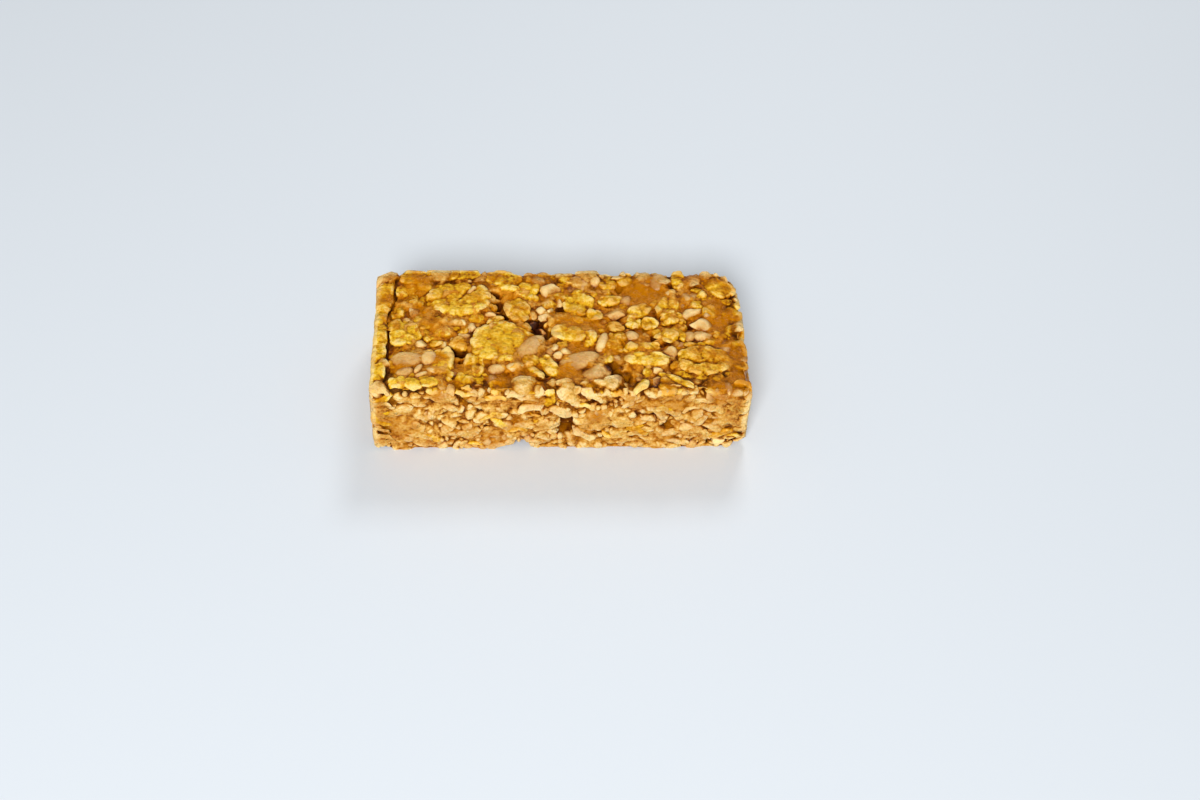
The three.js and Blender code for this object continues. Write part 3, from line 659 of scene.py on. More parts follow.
# Crumbs, cut flakes and nuts are packed in the sides and, a little lower, in the gaps on top.
packing = {
    "seed": 77,
    "variants": 6,
    "flakes": {  # length, width, bow, how much more for each variant, cell, seed
        "flakeBit": (8.5, 7, 0.5, 0.3, 1.15, 200),
        "flakeChip": (7, 5.2, 0.5, 0, 0.8, 230),
    },
    "thickness": 1.0,
    "lumps": {  # length, width and height, flat faces, seed, fineness
        "flakeLump": ((5.0, 4.0, 3.2), 6, 260, 2),
        "largeCrumb": ((4.1, 3.4, 2.7), 7, 300, 2),
        "smallCrumb": ((2.5, 2.1, 1.7), 5, 400, 1),
        "nutBit": ((5.0, 4.2, 3.6), 6, 500, 2),
    },
    "tones": {(0, 0.5): 0.5, (0.5, 0.8): 0.3, (0.9, 1): 0.2},  # the shares of brown, fair and pale
    "side": {
        "pitch": (2.25, 1.6),  # along a side and up it
        "shares": {"flakeBit": 0.26, "largeCrumb": 0.42, "smallCrumb": 0.24, "nutBit": 0.08},
        "inset": {"flakeBit": 2.6, "largeCrumb": 1.3, "smallCrumb": 0.8, "nutBit": 1.8},
        "jitter": {"along": 0.35, "up": 0.5, "inset": (-0.5, 0.6)},
        "foot": 0.2,
        "less": 1.4,  # than the bar's height
        "flakeLean": 22,
        "tip": 20,
        "sizes": (0.75, 1.3),
        "endFree": 2.6,  # how far under the top the packing of the two ends stops
    },
    "gap": {
        "pitch": 3.2,
        "shares": {
            "flakeChip": 0.5, "flakeLump": 0.18, "largeCrumb": 0.12, "smallCrumb": 0.03, "nutBit": 0.17,
        },
        "depth": {
            "flakeChip": 1.4, "flakeLump": 1.85, "largeCrumb": 1.9, "smallCrumb": 1.5, "nutBit": 1.9,
        },
        "jitter": {"across": 0.4, "up": (-0.35, 0.4)},
        "flat": 0.62,  # the press flattens what lies on top
        "tip": 7,
        "sizes": (0.7, 1.2),
        "backLift": {"from": 19, "by": 0.3},
    },
    "rim": {
        "pitch": 2.6,
        "shares": {"flakeBit": 0.4, "largeCrumb": 0.2, "smallCrumb": 0.4},
        "end": {0: 1.5, 180: 8},  # how far from the corners it stops, in front and behind
        "jitter": 0.3,
        "inset": (1.8, 3.2),
        "lean": (45, 25),  # and its spread
        "flat": 0.65,
        "sizes": (0.6, 0.95),
        "crackFree": 1.8,
        "grooveFree": 6,
    },
    "free": {  # how far loose crumbs keep from the things on top and from the bar's edges
        "crack": 1.2,
        "pit": 0.9,
        "edge": 1.4,
        "pool": {"above": 23, "share": 0.55},  # of the radius of the thickest amber spots
        "peanut": 0.52,  # of its size
        "cornflake": 0.45,
    },
    "clear": {  # and from the things in the front
        "arch": 1.05,  # of its size
        "foot": 0.6,
        "piece": 0.5,  # of its size
        "deep": 1.4,  # from this radius on a hollow keeps crumbs further away
        "deepHollow": {"flakeBit": 3.0, "largeCrumb": 1.5, "smallCrumb": 0.6, "nutBit": 1.8},
        "hollow": 0.3,
    },
    "cleared": [  # x, y, z, radius: the mouths of the deepest hollows, where nothing is packed
        (2, -24.5, 13, 2.2), (14.8, -16.6, 23.6, 3.4), (18.6, -19.8, 23.4, 3.4), (16.8, -14.4, 24, 3),
    ],
}


def makeVariants(flakeMaterial, crumbMaterial, nutMaterial):
    kinds = {kind: [] for kind in (*packing["flakes"], *packing["lumps"])}
    for i in range(packing["variants"]):
        for kind, (length, width, bow, more, cell, seed) in packing["flakes"].items():
            bit = {"length": length, "width": width, "bow": bow + more * i, "thickness": packing["thickness"]}
            kinds[kind].append(makeFlake(kind, bit, cell, seed + i))
        for kind, (size, flats, seed, level) in packing["lumps"].items():
            kinds[kind].append(makeChunk(kind, size, flats, seed + i, level))
    finishes = {
        "flakeBit": (flakeMaterial,) + (crumbMaterial,) * 5,
        "flakeChip": (flakeMaterial,),
        "flakeLump": (flakeMaterial,),
        "largeCrumb": (crumbMaterial,),
        "smallCrumb": (crumbMaterial,),
        "nutBit": (nutMaterial, crumbMaterial),
    }
    for kind, shapes in kinds.items():
        for i, shape in enumerate(shapes):
            shape.data.materials.append(finishes[kind][i % len(finishes[kind])])
    return kinds


def onPiece(x, y, places, share):  # whether a point lies over the middle of a placed piece
    for px, py, length, width, turn, *_ in places:
        away = Vector((x - px, y - py))
        away.rotate(Matrix.Rotation(math.radians(-turn), 2))
        if math.hypot(away.x / length, away.y / width) < share:
            return True
    return False


def keptFree(x, y):  # parts of the top that loose crumbs leave free
    free = packing["free"]
    if abs(x - crackAt(y)[0]) < free["crack"] and y < layout["crack"]["to"]:
        return True
    if any(math.hypot(x - px, y - py) < radius + free["pit"] for px, py, radius, _ in layout["pits"]):
        return True
    for px, py, pz, radius, share in layout["amberSpots"]:
        thick = share == 1 and pz > free["pool"]["above"]
        if thick and math.hypot(x - px, y - py) < radius * free["pool"]["share"]:
            return True
    if min(halfWidth - abs(y), halfLength - abs(x)) < free["edge"]:
        return True
    if onPiece(x, y, peanuts["places"], free["peanut"]):
        return True
    return onPiece(x, y, cornflakes["places"], free["cornflake"])


def keptClear(x, z, kind):  # parts of the front that loose crumbs leave free
    clear, groove, foot = packing["clear"], layout["frontGroove"], peanuts["foot"]
    if archReach(x, z) < clear["arch"]:
        return True
    if abs(x - foot["place"][0]) < foot["size"][0] / 2 + clear["foot"] and z < foot["size"][2]:
        return True
    if abs(x - groove["x"]) < groove["length"] / 2 and abs(z - groove["z"]) < groove["height"]:
        return True
    for px, pz, radius, _ in layout["frontHollows"]:
        room = clear["deepHollow"][kind] if radius > clear["deep"] else clear["hollow"]
        if math.hypot(x - px, z - pz) < radius + room:
            return True
    placed = frontPieces["flakes"] + frontPieces["cutFlakes"] + frontPieces["lumps"]
    return onPiece(x, z, placed, clear["piece"])


barSides = [  # half a side's length, how far out it stands and where it faces
    (halfLength, halfWidth, 0),
    (halfWidth, halfLength, 90),
    (halfLength, halfWidth, 180),
    (halfWidth, halfLength, 270),
]


upwards = Vector((0, 0, 1))


def drawnKind(draw, place):  # one of the kinds that are packed in a place, by their shares
    return draw.choices(*zip(*place["shares"].items()))[0]


def rimPlaces(draw):  # a row along the front and back edges of the top, leaning over them
    rim = packing["rim"]
    for run, stand, heading in barSides[::2]:
        run -= rim["end"][heading]
        count = round(2 * run / rim["pitch"])
        for index in range(count):
            kind = drawnKind(draw, rim)
            along = -run + (index + 0.5 + draw.uniform(-rim["jitter"], rim["jitter"])) * 2 * run / count
            inset, under = draw.uniform(*rim["inset"]), draw.uniform(*rim["inset"])
            place = (
                turned("Z", heading)
                @ placedAt(along, inset - stand, barTop - under)
                @ turned("X", rim["lean"][0] + draw.gauss(0, rim["lean"][1]))
                @ Matrix.Scale(rim["flat"] if kind != "flakeBit" else 1, 4, upwards)
                @ turned("Z", draw.uniform(0, 360))
                @ Matrix.Scale(draw.uniform(*rim["sizes"]), 4)
            )
            x, y, _ = place.translation / mm
            overCrack = abs(x - crackAt(y)[0]) < rim["crackFree"] and y < layout["crack"]["to"]
            overGroove = heading == 0 and abs(along - layout["frontGroove"]["x"]) < rim["grooveFree"]
            if not (overCrack or overGroove):
                yield kind, place


def sidePlaces(draw):  # a packed place on each side: its kind and matrix
    side, jitter = packing["side"], packing["side"]["jitter"]
    for run, stand, heading in barSides:
        columns = round(2 * run / side["pitch"][0])
        rows = round((barTop - 1) / side["pitch"][1])
        for row in range(rows):
            for column in range(columns):
                kind = drawnKind(draw, side)
                middle = column + 0.5 + (row % 2) * 0.5 + draw.uniform(-jitter["along"], jitter["along"])
                along = -run + middle * 2 * run / columns
                rise = row + 0.5 + draw.uniform(-jitter["up"], jitter["up"])
                z = side["foot"] + rise * (barTop - side["less"]) / rows
                inset = side["inset"][kind] + draw.uniform(*jitter["inset"])
                lean = draw.gauss(0, side["flakeLean"]) if kind == "flakeBit" else draw.uniform(-180, 180)
                size = draw.uniform(*side["sizes"])
                if heading == 0 and keptClear(along, z, kind):
                    continue
                if heading in (90, 270) and z > barTop - side["endFree"]:
                    continue
                place = (
                    turned("Z", heading)
                    @ placedAt(along, -stand + inset, z)
                    @ turned("Y", lean)
                    @ turned("X", draw.gauss(0, side["tip"]))
                    @ turned("Z", draw.uniform(0, 360))
                    @ Matrix.Scale(size, 4)
                )
                yield kind, place


def gapPlaces(draw):  # fill between the whole flakes and nuts on top
    gap = packing["gap"]
    pitch, across, lift = gap["pitch"], gap["jitter"]["across"], gap["backLift"]
    for column in range(round(2 * halfLength / pitch)):
        for row in range(round(2 * halfWidth / pitch)):
            kind = drawnKind(draw, gap)
            x = -halfLength + (column + 0.5 + draw.uniform(-across, across)) * pitch
            y = -halfWidth + (row + 0.5 + draw.uniform(-across, across)) * pitch
            z = barTop - gap["depth"][kind] + draw.uniform(*gap["jitter"]["up"])
            z += lift["by"] * (y > lift["from"])
            place = (
                placedAt(x, y, z)
                @ turned("X", draw.gauss(0, gap["tip"]))
                @ turned("Y", draw.gauss(0, gap["tip"]))
                @ Matrix.Scale(gap["flat"] if kind != "flakeChip" else 1, 4, upwards)
                @ turned("Z", draw.uniform(0, 360))
                @ Matrix.Scale(draw.uniform(*gap["sizes"]), 4)
            )
            if not keptFree(x, y):
                yield kind, place


def packPieces(kinds):
    draw = random.Random(packing["seed"])
    ranges, shares = zip(*packing["tones"].items())
    packed = {kind: [] for kind in kinds}
    for kind, place in [*sidePlaces(draw), *gapPlaces(draw), *rimPlaces(draw)]:
        tone = draw.choices([draw.uniform(*tones) for tones in ranges], shares)[0]
        shape, middle = draw.choice(kinds[kind]), place.translation / mm
        if all((middle - Vector(spot[:3])).length > spot[3] for spot in packing["cleared"]):
            packed[kind].append(copied(shape, place, tone))
    for shape in sum(kinds.values(), []):
        bpy.data.objects.remove(shape)
    return packed


caramel = {
    "cell": 0.5,
    "inner": {"inset": 3.2, "rounding": 1.0, "bottom": 0.3},  # the plain inside, under the knife's planes
    "draw": 6,  # rounds of evening out in each pass
    "passes": {"top": 3, "sides": 4},  # more passes bridge wider hollows
    "sink": {"top": 0.3, "sides": 0.22},
    "tide": {"size": 8.0, "height": 0.55},
    "lump": {"size": 2.4, "height": 0.6},
    "ripple": {"size": 1.2, "height": 0.32},
    "calm": 0.35,  # how much of the unevenness goes at the amber spots
    "meal": {"size": 5.5, "start": 0.25, "slope": 1.8, "most": 0.75},  # fine crumbs stirred in
    "pool": 0.15,  # how far it stands over the pieces at the amber spots
    "smooth": 60,  # rounds of evening out for that
    "proud": 0.6,  # how far outside the bar it starts before it is drawn in
    "roundEdge": 0.8,
    "foot": 0.3,  # what lies lower stays on the table
    "brim": 2,  # under the top, where the filling of the sides gives way to that of the top
    "edge": {"reach": 3.2, "depth": 0.6, "vary": 0.8, "size": 6.0, "soft": 12},  # where it draws back
    "ragged": {"size": 2.2, "share": 0.7},  # unevenness of the pits' outlines
    "deepest": 2.2,
}


def makeBox(name, inset, rounding, bottom):
    size = Vector((halfLength - inset, halfWidth - inset, (barTop - inset - bottom) / 2)) * 2 * mm
    bpy.ops.mesh.primitive_cube_add(size=1, location=(0, 0, (barTop - inset + bottom) / 2 * mm))
    box = named(name)
    box.scale = size
    bpy.ops.object.transform_apply(location=True, rotation=True, scale=True)
    addModifier(box, "BEVEL", width=rounding * mm, segments=4)
    return box


def evened(piece, values, rounds):  # a value at each vertex spread along the edges of the mesh
    ends = np.empty(len(piece.data.edges) * 2, int)
    piece.data.edges.foreach_get("vertices", ends)
    first, second = ends.reshape(-1, 2).T
    near = np.bincount(ends, minlength=len(values))
    for _ in range(rounds):
        total = np.bincount(first, values[second], len(values))
        total = total + np.bincount(second, values[first], len(values))
        values = (values + total / near) / 2
    return values


def spotsAt(points, spots):  # 0 to 1: how near each point is to the middle of a spot
    nearest = np.zeros(len(points))
    for x, y, z, radius, share in spots:
        away = np.linalg.norm(points - [x, y, z], axis=1)
        nearest = np.maximum(nearest, share * np.sqrt(dip(away, radius)))
    return nearest


def filledUp(pour, depth, onTop):  # evened out in passes, more of which bridge wider hollows
    filled = {}
    for part, passes in caramel["passes"].items():
        level = depth
        for _ in range(passes):
            level = np.minimum(level, evened(pour, level, caramel["draw"]))
        filled[part] = level + caramel["sink"][part]
    return filled["sides"] + (filled["top"] - filled["sides"]) * onTop


def pourCaramel(pieces, material):
    inner = makeBox("inside", **caramel["inner"])
    around = joined([inner] + [copied(piece, Matrix.Identity(4), 0) for piece in pieces], "around")
    pour = makeBox("caramel", -caramel["proud"], caramel["roundEdge"], 0)
    addModifier(pour, "REMESH", mode="VOXEL", voxel_size=caramel["cell"] * mm)
    start = readPoints(pour)
    outward = np.array([vertex.normal for vertex in pour.data.vertices])
    above = start[:, 2] > caramel["foot"]
    addModifier(
        pour, "SHRINKWRAP", target=around, wrap_method="PROJECT", use_negative_direction=True,
        use_positive_direction=False,
    )
    depth = np.linalg.norm(readPoints(pour) - start, axis=1)
    depth = evened(pour, np.minimum(depth, caramel["deepest"]), 1)
    bpy.data.objects.remove(around)
    onTop = np.clip((start[:, 2] - barTop + caramel["brim"]) / caramel["brim"], 0, 1)
    depth = filledUp(pour, depth, onTop)
    smooth = evened(pour, depth, caramel["smooth"]) - caramel["pool"] - caramel["sink"]["top"]
    amber = spotsAt(start, layout["amberSpots"])
    depth = depth * (1 - amber) + np.minimum(depth, smooth) * amber
    for uneven in (caramel["tide"], caramel["lump"], caramel["ripple"]):
        rise = uneven["height"] * (1 - caramel["calm"] * amber)
        depth -= rise * noiseAt(start, uneven["size"], seed=5)
    edge = caramel["edge"]
    inward = np.abs([halfLength, halfWidth, barTop] - np.abs(start))
    atEdge = dip(np.sort(inward, axis=1)[:, 1], edge["reach"])
    depth += edge["depth"] * (1 + edge["vary"] * noiseAt(start, edge["size"], seed=7)) * atEdge
    moved = outward * depth[:, None]
    moved[~above, 2] = 0  # the foot stays on the table
    points = start - moved
    soft = np.column_stack([evened(pour, values, edge["soft"]) for values in points.T])
    points += (soft - points) * (atEdge * above)[:, None]
    writePoints(pour, trimmed(pitted(points)))
    pour.data.materials.append(material)
    meal = caramel["meal"]
    stirred = meal["start"] + meal["slope"] * noiseAt(start, meal["size"], seed=21)
    stirred = np.clip(stirred, 0, meal["most"]) * (1 - amber)  # none at the amber spots
    setValues(pour, "tone", np.maximum(1 - onTop, stirred))
    return pour


dips = {
    "mouth": 1.5,  # how much further the pits and hollows reach than their radii
    "pits": {"from": 12, "over": 6},  # the height where they begin, and over which they fade in
    "crack": {"from": 15, "over": 6, "mouth": 2, "more": 0.3},
    "front": 5,  # how far back the hollows of the front reach
    "groove": {"ends": 2, "mouth": 1.3},
    "arch": 1.15,
}


def pitted(points):  # pits, the crack and the hollows in the front
    points = np.array(points)
    ragged = 1 + caramel["ragged"]["share"] * noiseAt(points, caramel["ragged"]["size"], seed=9)
    x, y, z = points.T.copy()
    onTop = np.clip((z - dips["pits"]["from"]) / dips["pits"]["over"], 0, 1)
    for px, py, radius, depth in layout["pits"]:
        reach = radius * dips["mouth"] * ragged
        points[:, 2] -= onTop * depth * dip(np.hypot(x - px, y - py), reach)
    crack, shape, (middle, half) = layout["crack"], dips["crack"], crackAt(y)
    inside = (y < crack["to"]) * np.clip((z - shape["from"]) / shape["over"], 0, 1)
    reach = half * shape["mouth"] + shape["more"]
    points[:, 2] -= inside * crack["depth"] * dip(np.abs(x - middle), reach)
    onFront = y < -halfWidth + dips["front"]
    for px, pz, radius, depth in layout["frontHollows"]:
        reach = radius * dips["mouth"] * ragged
        points[:, 1] += onFront * depth * dip(np.hypot(x - px, z - pz), reach)
    groove, shape = layout["frontGroove"], dips["groove"]
    along = dip(np.maximum(np.abs(x - groove["x"]) - groove["length"] / 2, 0), shape["ends"])
    across = dip(np.abs(z - groove["z"]), groove["height"] * shape["mouth"])
    points[:, 1] += onFront * groove["depth"] * along * across
    points[:, 1] += onFront * layout["frontArch"]["depth"] * dip(archReach(x, z), dips["arch"])
    return points


# Painted shade and highlight follow the relief: how far each point stands out of the bar's blurred surface.
# Low points are painted darker and high ones lighter.
relief = {
    "step": 0.3,
    "blur": {"relief": 1.4, "crease": 0.5},
    "margin": 1,  # how far beyond the bar it is measured
    "away": 3,  # where the rays start
    "miss": 3.0,
    "blend": 1.2,
    "rim": 1.2,  # the width of the bar's edges, which count less
    "rimShare": 0.4,
    "dark": 1.8,  # how much lower the spots of painted shade count
}


def blurred(field, size):
    for _ in range(round((size / relief["step"]) ** 2 * 4)):
        wide = np.pad(field, 1, "edge")
        sides = wide[:-2, 1:-1] + wide[2:, 1:-1] + wide[1:-1, :-2] + wide[1:-1, 2:]
        field = (sides + 4 * field) / 8
    return field


def measureRelief(pieces):
    corners, faces, start = [], [], 0
    for piece in pieces:
        points = readPoints(piece)
        corners.extend(points.tolist())
        faces.extend([start + index for index in face.vertices] for face in piece.data.polygons)
        start += len(points)
    tree = BVHTree.FromPolygons(corners, faces)
    half = (halfLength, halfWidth, barTop)
    step, margin = relief["step"], relief["margin"]
    views = []
    for axis, sign in ((2, 1), (1, -1), (1, 1), (0, -1), (0, 1)):
        first, second = [a for a in range(3) if a != axis]
        firsts = np.arange(-half[first] - margin, half[first] + margin, step)
        seconds = np.arange(0 if second == 2 else -half[second] - margin, half[second] + margin, step)
        ray = Vector([-sign if a == axis else 0 for a in range(3)])
        field = np.full((len(firsts), len(seconds)), half[axis] - relief["miss"])
        for i, a in enumerate(firsts):
            for j, b in enumerate(seconds):
                origin = [0, 0, 0]
                origin[axis], origin[first], origin[second] = sign * (half[axis] + relief["away"]), a, b
                hit = tree.ray_cast(origin, ray)[0]
                if hit is not None:
                    field[i, j] = max(field[i, j], sign * hit[axis])
        inside = half[first] - np.abs(firsts)[:, None] > relief["rim"]
        inside = inside & (half[second] - np.abs(seconds)[None, :] > relief["rim"])
        share = np.where(inside, 1, relief["rimShare"])
        fields = {}
        for name, size in relief["blur"].items():
            fields[name] = blurred(field * share, size) / blurred(share, size)
        views.append((axis, sign, first, second, firsts[0], seconds[0], fields))
    for piece in pieces:
        points = readPoints(piece)
        totals = {name: np.zeros(len(points)) for name in relief["blur"]}
        weights = np.full(len(points), tiny)
        for axis, sign, first, second, low1, low2, fields in views:
            shape = fields["relief"].shape
            i = np.clip(((points[:, first] - low1) / step).round().astype(int), 0, shape[0] - 1)
            j = np.clip(((points[:, second] - low2) / step).round().astype(int), 0, shape[1] - 1)
            out = sign * points[:, axis]
            weight = np.exp(-np.maximum(half[axis] - out, 0) / relief["blend"])
            weights += weight
            for name, field in fields.items():
                totals[name] += weight * (out - field[i, j])
        # The spots of painted shade lower the relief, so the ramps paint them dark.
        dark = relief["dark"] * spotsAt(points, layout["paintedShadeSpots"])
        for name, total in totals.items():
            setValues(piece, name, total / weights - dark)


def markSpots(pieces):
    for piece in pieces:
        setValues(piece, "amber", spotsAt(readPoints(piece), layout["amberSpots"]))
        # pale: bare of caramel, and partly a painted highlight on rims that face the lamp
        setValues(piece, "pale", spotsAt(readPoints(piece), layout["bareAndHighlightSpots"]))


def colour(code):  # sRGB hex to linear
    parts = [int(code[i:i + 2], 16) / 255 for i in (1, 3, 5)]
    return [c / 12.92 if c <= 0.04045 else ((c + 0.055) / 1.055) ** 2.4 for c in parts] + [1]


def perMetre(size):  # a texture's scale from the size of its pattern in mm
    return 1 / (size * mm)


def addNode(tree, kind, settings=None, links=None):
    node = tree.nodes.new(kind)
    for key, value in (settings or {}).items():
        if key == "stops":
            for index, (place, code) in enumerate(value):
                elements = node.color_ramp.elements
                stop = elements[index] if index < 2 else elements.new(place)
                stop.position, stop.color = place, colour(code)
        elif isinstance(key, int) or key in node.inputs:
            node.inputs[key].default_value = value
        else:
            setattr(node, key, value)
    for key, source in (links or {}).items():
        tree.links.new(source, node.inputs[key])
    return node


def newMaterial(name):
    material = bpy.data.materials.new(name)
    material.use_nodes = True
    tree = material.node_tree
    coords = addNode(tree, "ShaderNodeTexCoord").outputs["Object"]
    values = {}
    for value in ("tone", "relief", "crease", "amber", "pale"):
        values[value] = addNode(tree, "ShaderNodeAttribute", {"attribute_name": value}).outputs["Fac"]
    return material, tree, tree.nodes["Principled BSDF"], coords, values


def patches(tree, coords, size, start, end, low=0.0, high=1.0):  # soft patches of a size in mm
    settings = {"Scale": perMetre(size), "Detail": 3.0}
    pattern = addNode(tree, "ShaderNodeTexNoise", settings, {"Vector": coords}).outputs["Fac"]
    ramp = {
        "interpolation_type": "SMOOTHSTEP",
        "From Min": start, "From Max": end, "To Min": low, "To Max": high,
    }
    return addNode(tree, "ShaderNodeMapRange", ramp, {"Value": pattern}).outputs["Result"]


mixFactor, mixFirst, mixSecond, mixResult = 0, 6, 7, 2  # the sockets of a colour mix
creaseShade = {"reach": 0.35, "share": 0.27}  # painted shade in fine creases and painted highlight on fine ridges; the share is of the ramp's length
speckles = {"size": 0.8, "start": 0.3, "end": 0.7}
coat = {  # the film of caramel over the pieces
    "film": {"size": 4.5, "start": 0.45, "end": 0.62},
    "pools": {"size": 2.2, "start": 0.25, "end": 0.5},
    "bare": {"size": 2.6, "start": 0.3, "end": 0.55, "high": 0.8},
    # screened over the bare spots: partly the lighter bare cut, partly a painted highlight
    "bareTintAndHighlight": "#6c4c1e",
}


def reliefShadeRamp(tree, values, coords, lowest, highest, stops, speckle=0.13):
    # Colour by relief, from the lowest to the highest in mm: painted shade in the low places and creases,
    # painted highlight on the high ones, with fine speckle.
    height = {"From Min": lowest, "From Max": highest, "clamp": False}
    height = addNode(tree, "ShaderNodeMapRange", height, {"Value": values["relief"]}).outputs["Result"]
    reach, share = creaseShade["reach"], creaseShade["share"]
    crease = {"From Min": -reach, "From Max": reach, "To Min": -share, "To Max": share}
    crease = addNode(tree, "ShaderNodeMapRange", crease, {"Value": values["crease"]}).outputs["Result"]
    for part in (crease, patches(tree, coords, **speckles, low=-speckle, high=speckle)):
        height = addNode(tree, "ShaderNodeMath", {"operation": "ADD"}, {0: height, 1: part}).outputs[0]
    return addNode(tree, "ShaderNodeValToRGB", {"stops": stops}, {"Fac": height}).outputs["Color"]


def toned(tree, values, coords, tone, dark, light):
    # Two colour ramps with painted shade and highlight by relief, mixed by the tone from the dark one to the
    # light one.
    first, second = (reliefShadeRamp(tree, values, coords, *ramp) for ramp in (dark, light))
    links = {mixFactor: tone, mixFirst: first, mixSecond: second}
    return addNode(tree, "ShaderNodeMix", {"data_type": "RGBA"}, links).outputs[mixResult]


def glazed(tree, values, coords, base, code, spread):
    # A film of caramel over a colour: in patches, thick at the amber spots and missing at the pale ones,
    # which are also lightened, partly as a painted highlight.
    film = patches(tree, coords, **coat["film"], high=spread)
    spots, bare = patches(tree, coords, **coat["pools"]), patches(tree, coords, **coat["bare"])
    times = {"operation": "MULTIPLY"}
    spots = addNode(tree, "ShaderNodeMath", times, {0: spots, 1: values["amber"]}).outputs[0]
    bare = addNode(tree, "ShaderNodeMath", times, {0: bare, 1: values["pale"]}).outputs[0]
    film = addNode(tree, "ShaderNodeMath", {"operation": "MAXIMUM"}, {0: film, 1: spots}).outputs[0]
    less = {"operation": "SUBTRACT", "use_clamp": True}
    film = addNode(tree, "ShaderNodeMath", less, {0: film, 1: bare}).outputs[0]
    mix = {"data_type": "RGBA", mixSecond: colour(code)}
    base = addNode(tree, "ShaderNodeMix", mix, {mixFactor: film, mixFirst: base}).outputs[mixResult]
    # lightens the bare spots, partly as a painted highlight on the rims that face the lamp
    mix = {"data_type": "RGBA", "blend_type": "SCREEN", mixSecond: colour(coat["bareTintAndHighlight"])}
    base = addNode(tree, "ShaderNodeMix", mix, {mixFactor: bare, mixFirst: base}).outputs[mixResult]
    return base, film


def grain(tree, shader, coords, sizes, blisters=()):  # relief finer than the mesh: (size, height) in mm
    normal, patterns = None, []
    for size, height in blisters:
        settings = {"feature": "SMOOTH_F1", "Scale": perMetre(size), "Smoothness": 0.35}
        cells = addNode(tree, "ShaderNodeTexVoronoi", settings, {"Vector": coords})
        patterns.append((cells.outputs["Distance"], height, True))
    for size, height in sizes:
        settings = {"Scale": perMetre(size), "Detail": 2.0}
        pattern = addNode(tree, "ShaderNodeTexNoise", settings, {"Vector": coords})
        patterns.append((pattern.outputs["Fac"], height, False))
    for pattern, height, inverted in patterns:
        settings = {"Strength": 1.0, "Distance": height * mm, "invert": inverted}
        links = {"Height": pattern} if normal is None else {"Height": pattern, "Normal": normal}
        normal = addNode(tree, "ShaderNodeBump", settings, links).outputs["Normal"]
    tree.links.new(normal, shader.inputs["Normal"])


def setShader(shader, **values):
    for key, value in values.items():
        shader.inputs[key.replace("_", " ")].default_value = value


def finish(tree, shader, base, film, dull, glossy):  # colour, and gloss where the caramel film is
    tree.links.new(base, shader.inputs["Base Color"])
    gloss = addNode(tree, "ShaderNodeMapRange", {"To Min": dull, "To Max": glossy}, {"Value": film})
    tree.links.new(gloss.outputs["Result"], shader.inputs["Roughness"])


def flakeFinish():
    # Maize rolled thin and toasted: mustard yellow, painted paler on its blisters and rims as highlight and
    # painted brown where it dips as shade, under a film of caramel that makes it shine in patches.
    material, tree, shader, coords, values = newMaterial("toastedMaizeFlake")
    toasted = [(0, "#381200"), (1, "#f4ba54"), (0.28, "#7c3a00"), (0.48, "#a86200")]
    toasted += [(0.66, "#c67e0c"), (0.82, "#de9a28")]
    pale = [(0, "#481c00"), (1, "#ffdc84"), (0.28, "#a05c04"), (0.48, "#d69c14")]
    pale += [(0.66, "#eab424"), (0.82, "#f8ca4c")]
    mottled = patches(tree, coords, size=3.2, start=0.35, end=0.65, low=-0.45, high=0.45)
    tone = {"operation": "ADD", "use_clamp": True}
    tone = addNode(tree, "ShaderNodeMath", tone, {0: values["tone"], 1: mottled}).outputs[0]
    base = toned(tree, values, coords, tone, (-0.9, 0.55, toasted), (-0.9, 0.55, pale))
    base, film = glazed(tree, values, coords, base, "#c87800", spread=0.4)
    finish(tree, shader, base, film, dull=0.5, glossy=0.28)
    setShader(shader, IOR=1.45, Specular_IOR_Level=0.22, Specular_Tint=colour("#ffbc50"))
    setShader(shader, Subsurface_Weight=0.08, Subsurface_Scale=0.0006)
    grain(tree, shader, coords, [(1.2, 0.34), (0.5, 0.18)], blisters=[(1.9, 0.5)])
    return material


def nutFinish():
    # Roasted peanut without its skin: waxy cream to tan, darker where caramel clings, with painted shade in
    # its low places and painted highlight on its high ones.
    material, tree, shader, coords, values = newMaterial("roastedPeanut")
    tan = [(0, "#3c1604"), (1, "#e8b566"), (0.3, "#884810"), (0.5, "#bc7c30"), (0.7, "#d09648")]
    cream = [(0, "#4c2006"), (1, "#fbdc98"), (0.3, "#a6621c"), (0.5, "#d89f4c"), (0.7, "#eec070")]
    dark, light = (-1.0, 0.6, tan, 0.1), (-1.0, 0.6, cream, 0.1)
    base = toned(tree, values, coords, values["tone"], dark, light)
    base, film = glazed(tree, values, coords, base, "#a8641c", spread=0.25)
    finish(tree, shader, base, film, dull=0.45, glossy=0.3)
    setShader(shader, IOR=1.45, Specular_IOR_Level=0.35, Subsurface_Weight=0.12, Subsurface_Scale=0.0008)
    grain(tree, shader, coords, [(2.2, 0.5), (0.7, 0.16)])
    return material


def crumbFinish():
    # Broken flake and nut in dried caramel: dull, pale and mealy at the cut, with painted shade in the
    # crevices.
    material, tree, shader, coords, values = newMaterial("cutMaizeCrumb")
    tan = [(0, "#3e1602"), (1, "#ecc074"), (0.28, "#85410a"), (0.5, "#bc762a"), (0.72, "#d49842")]
    cream = [(0, "#4c1e02"), (1, "#f8d896"), (0.28, "#9e570a"), (0.5, "#cf9438"), (0.72, "#e3b25c")]
    dark, light = (-0.9, 0.6, tan), (-0.9, 0.6, cream)
    base = toned(tree, values, coords, values["tone"], dark, light)
    base, film = glazed(tree, values, coords, base, "#b86c1c", spread=0.3)
    finish(tree, shader, base, film, dull=0.6, glossy=0.4)
    setShader(shader, IOR=1.45, Specular_IOR_Level=0.2, Specular_Tint=colour("#ffc878"))
    setShader(shader, Subsurface_Weight=0.08, Subsurface_Scale=0.0006)
    grain(tree, shader, coords, [(1.3, 0.6), (0.5, 0.28)], blisters=[(1.7, 0.45)])
    return material


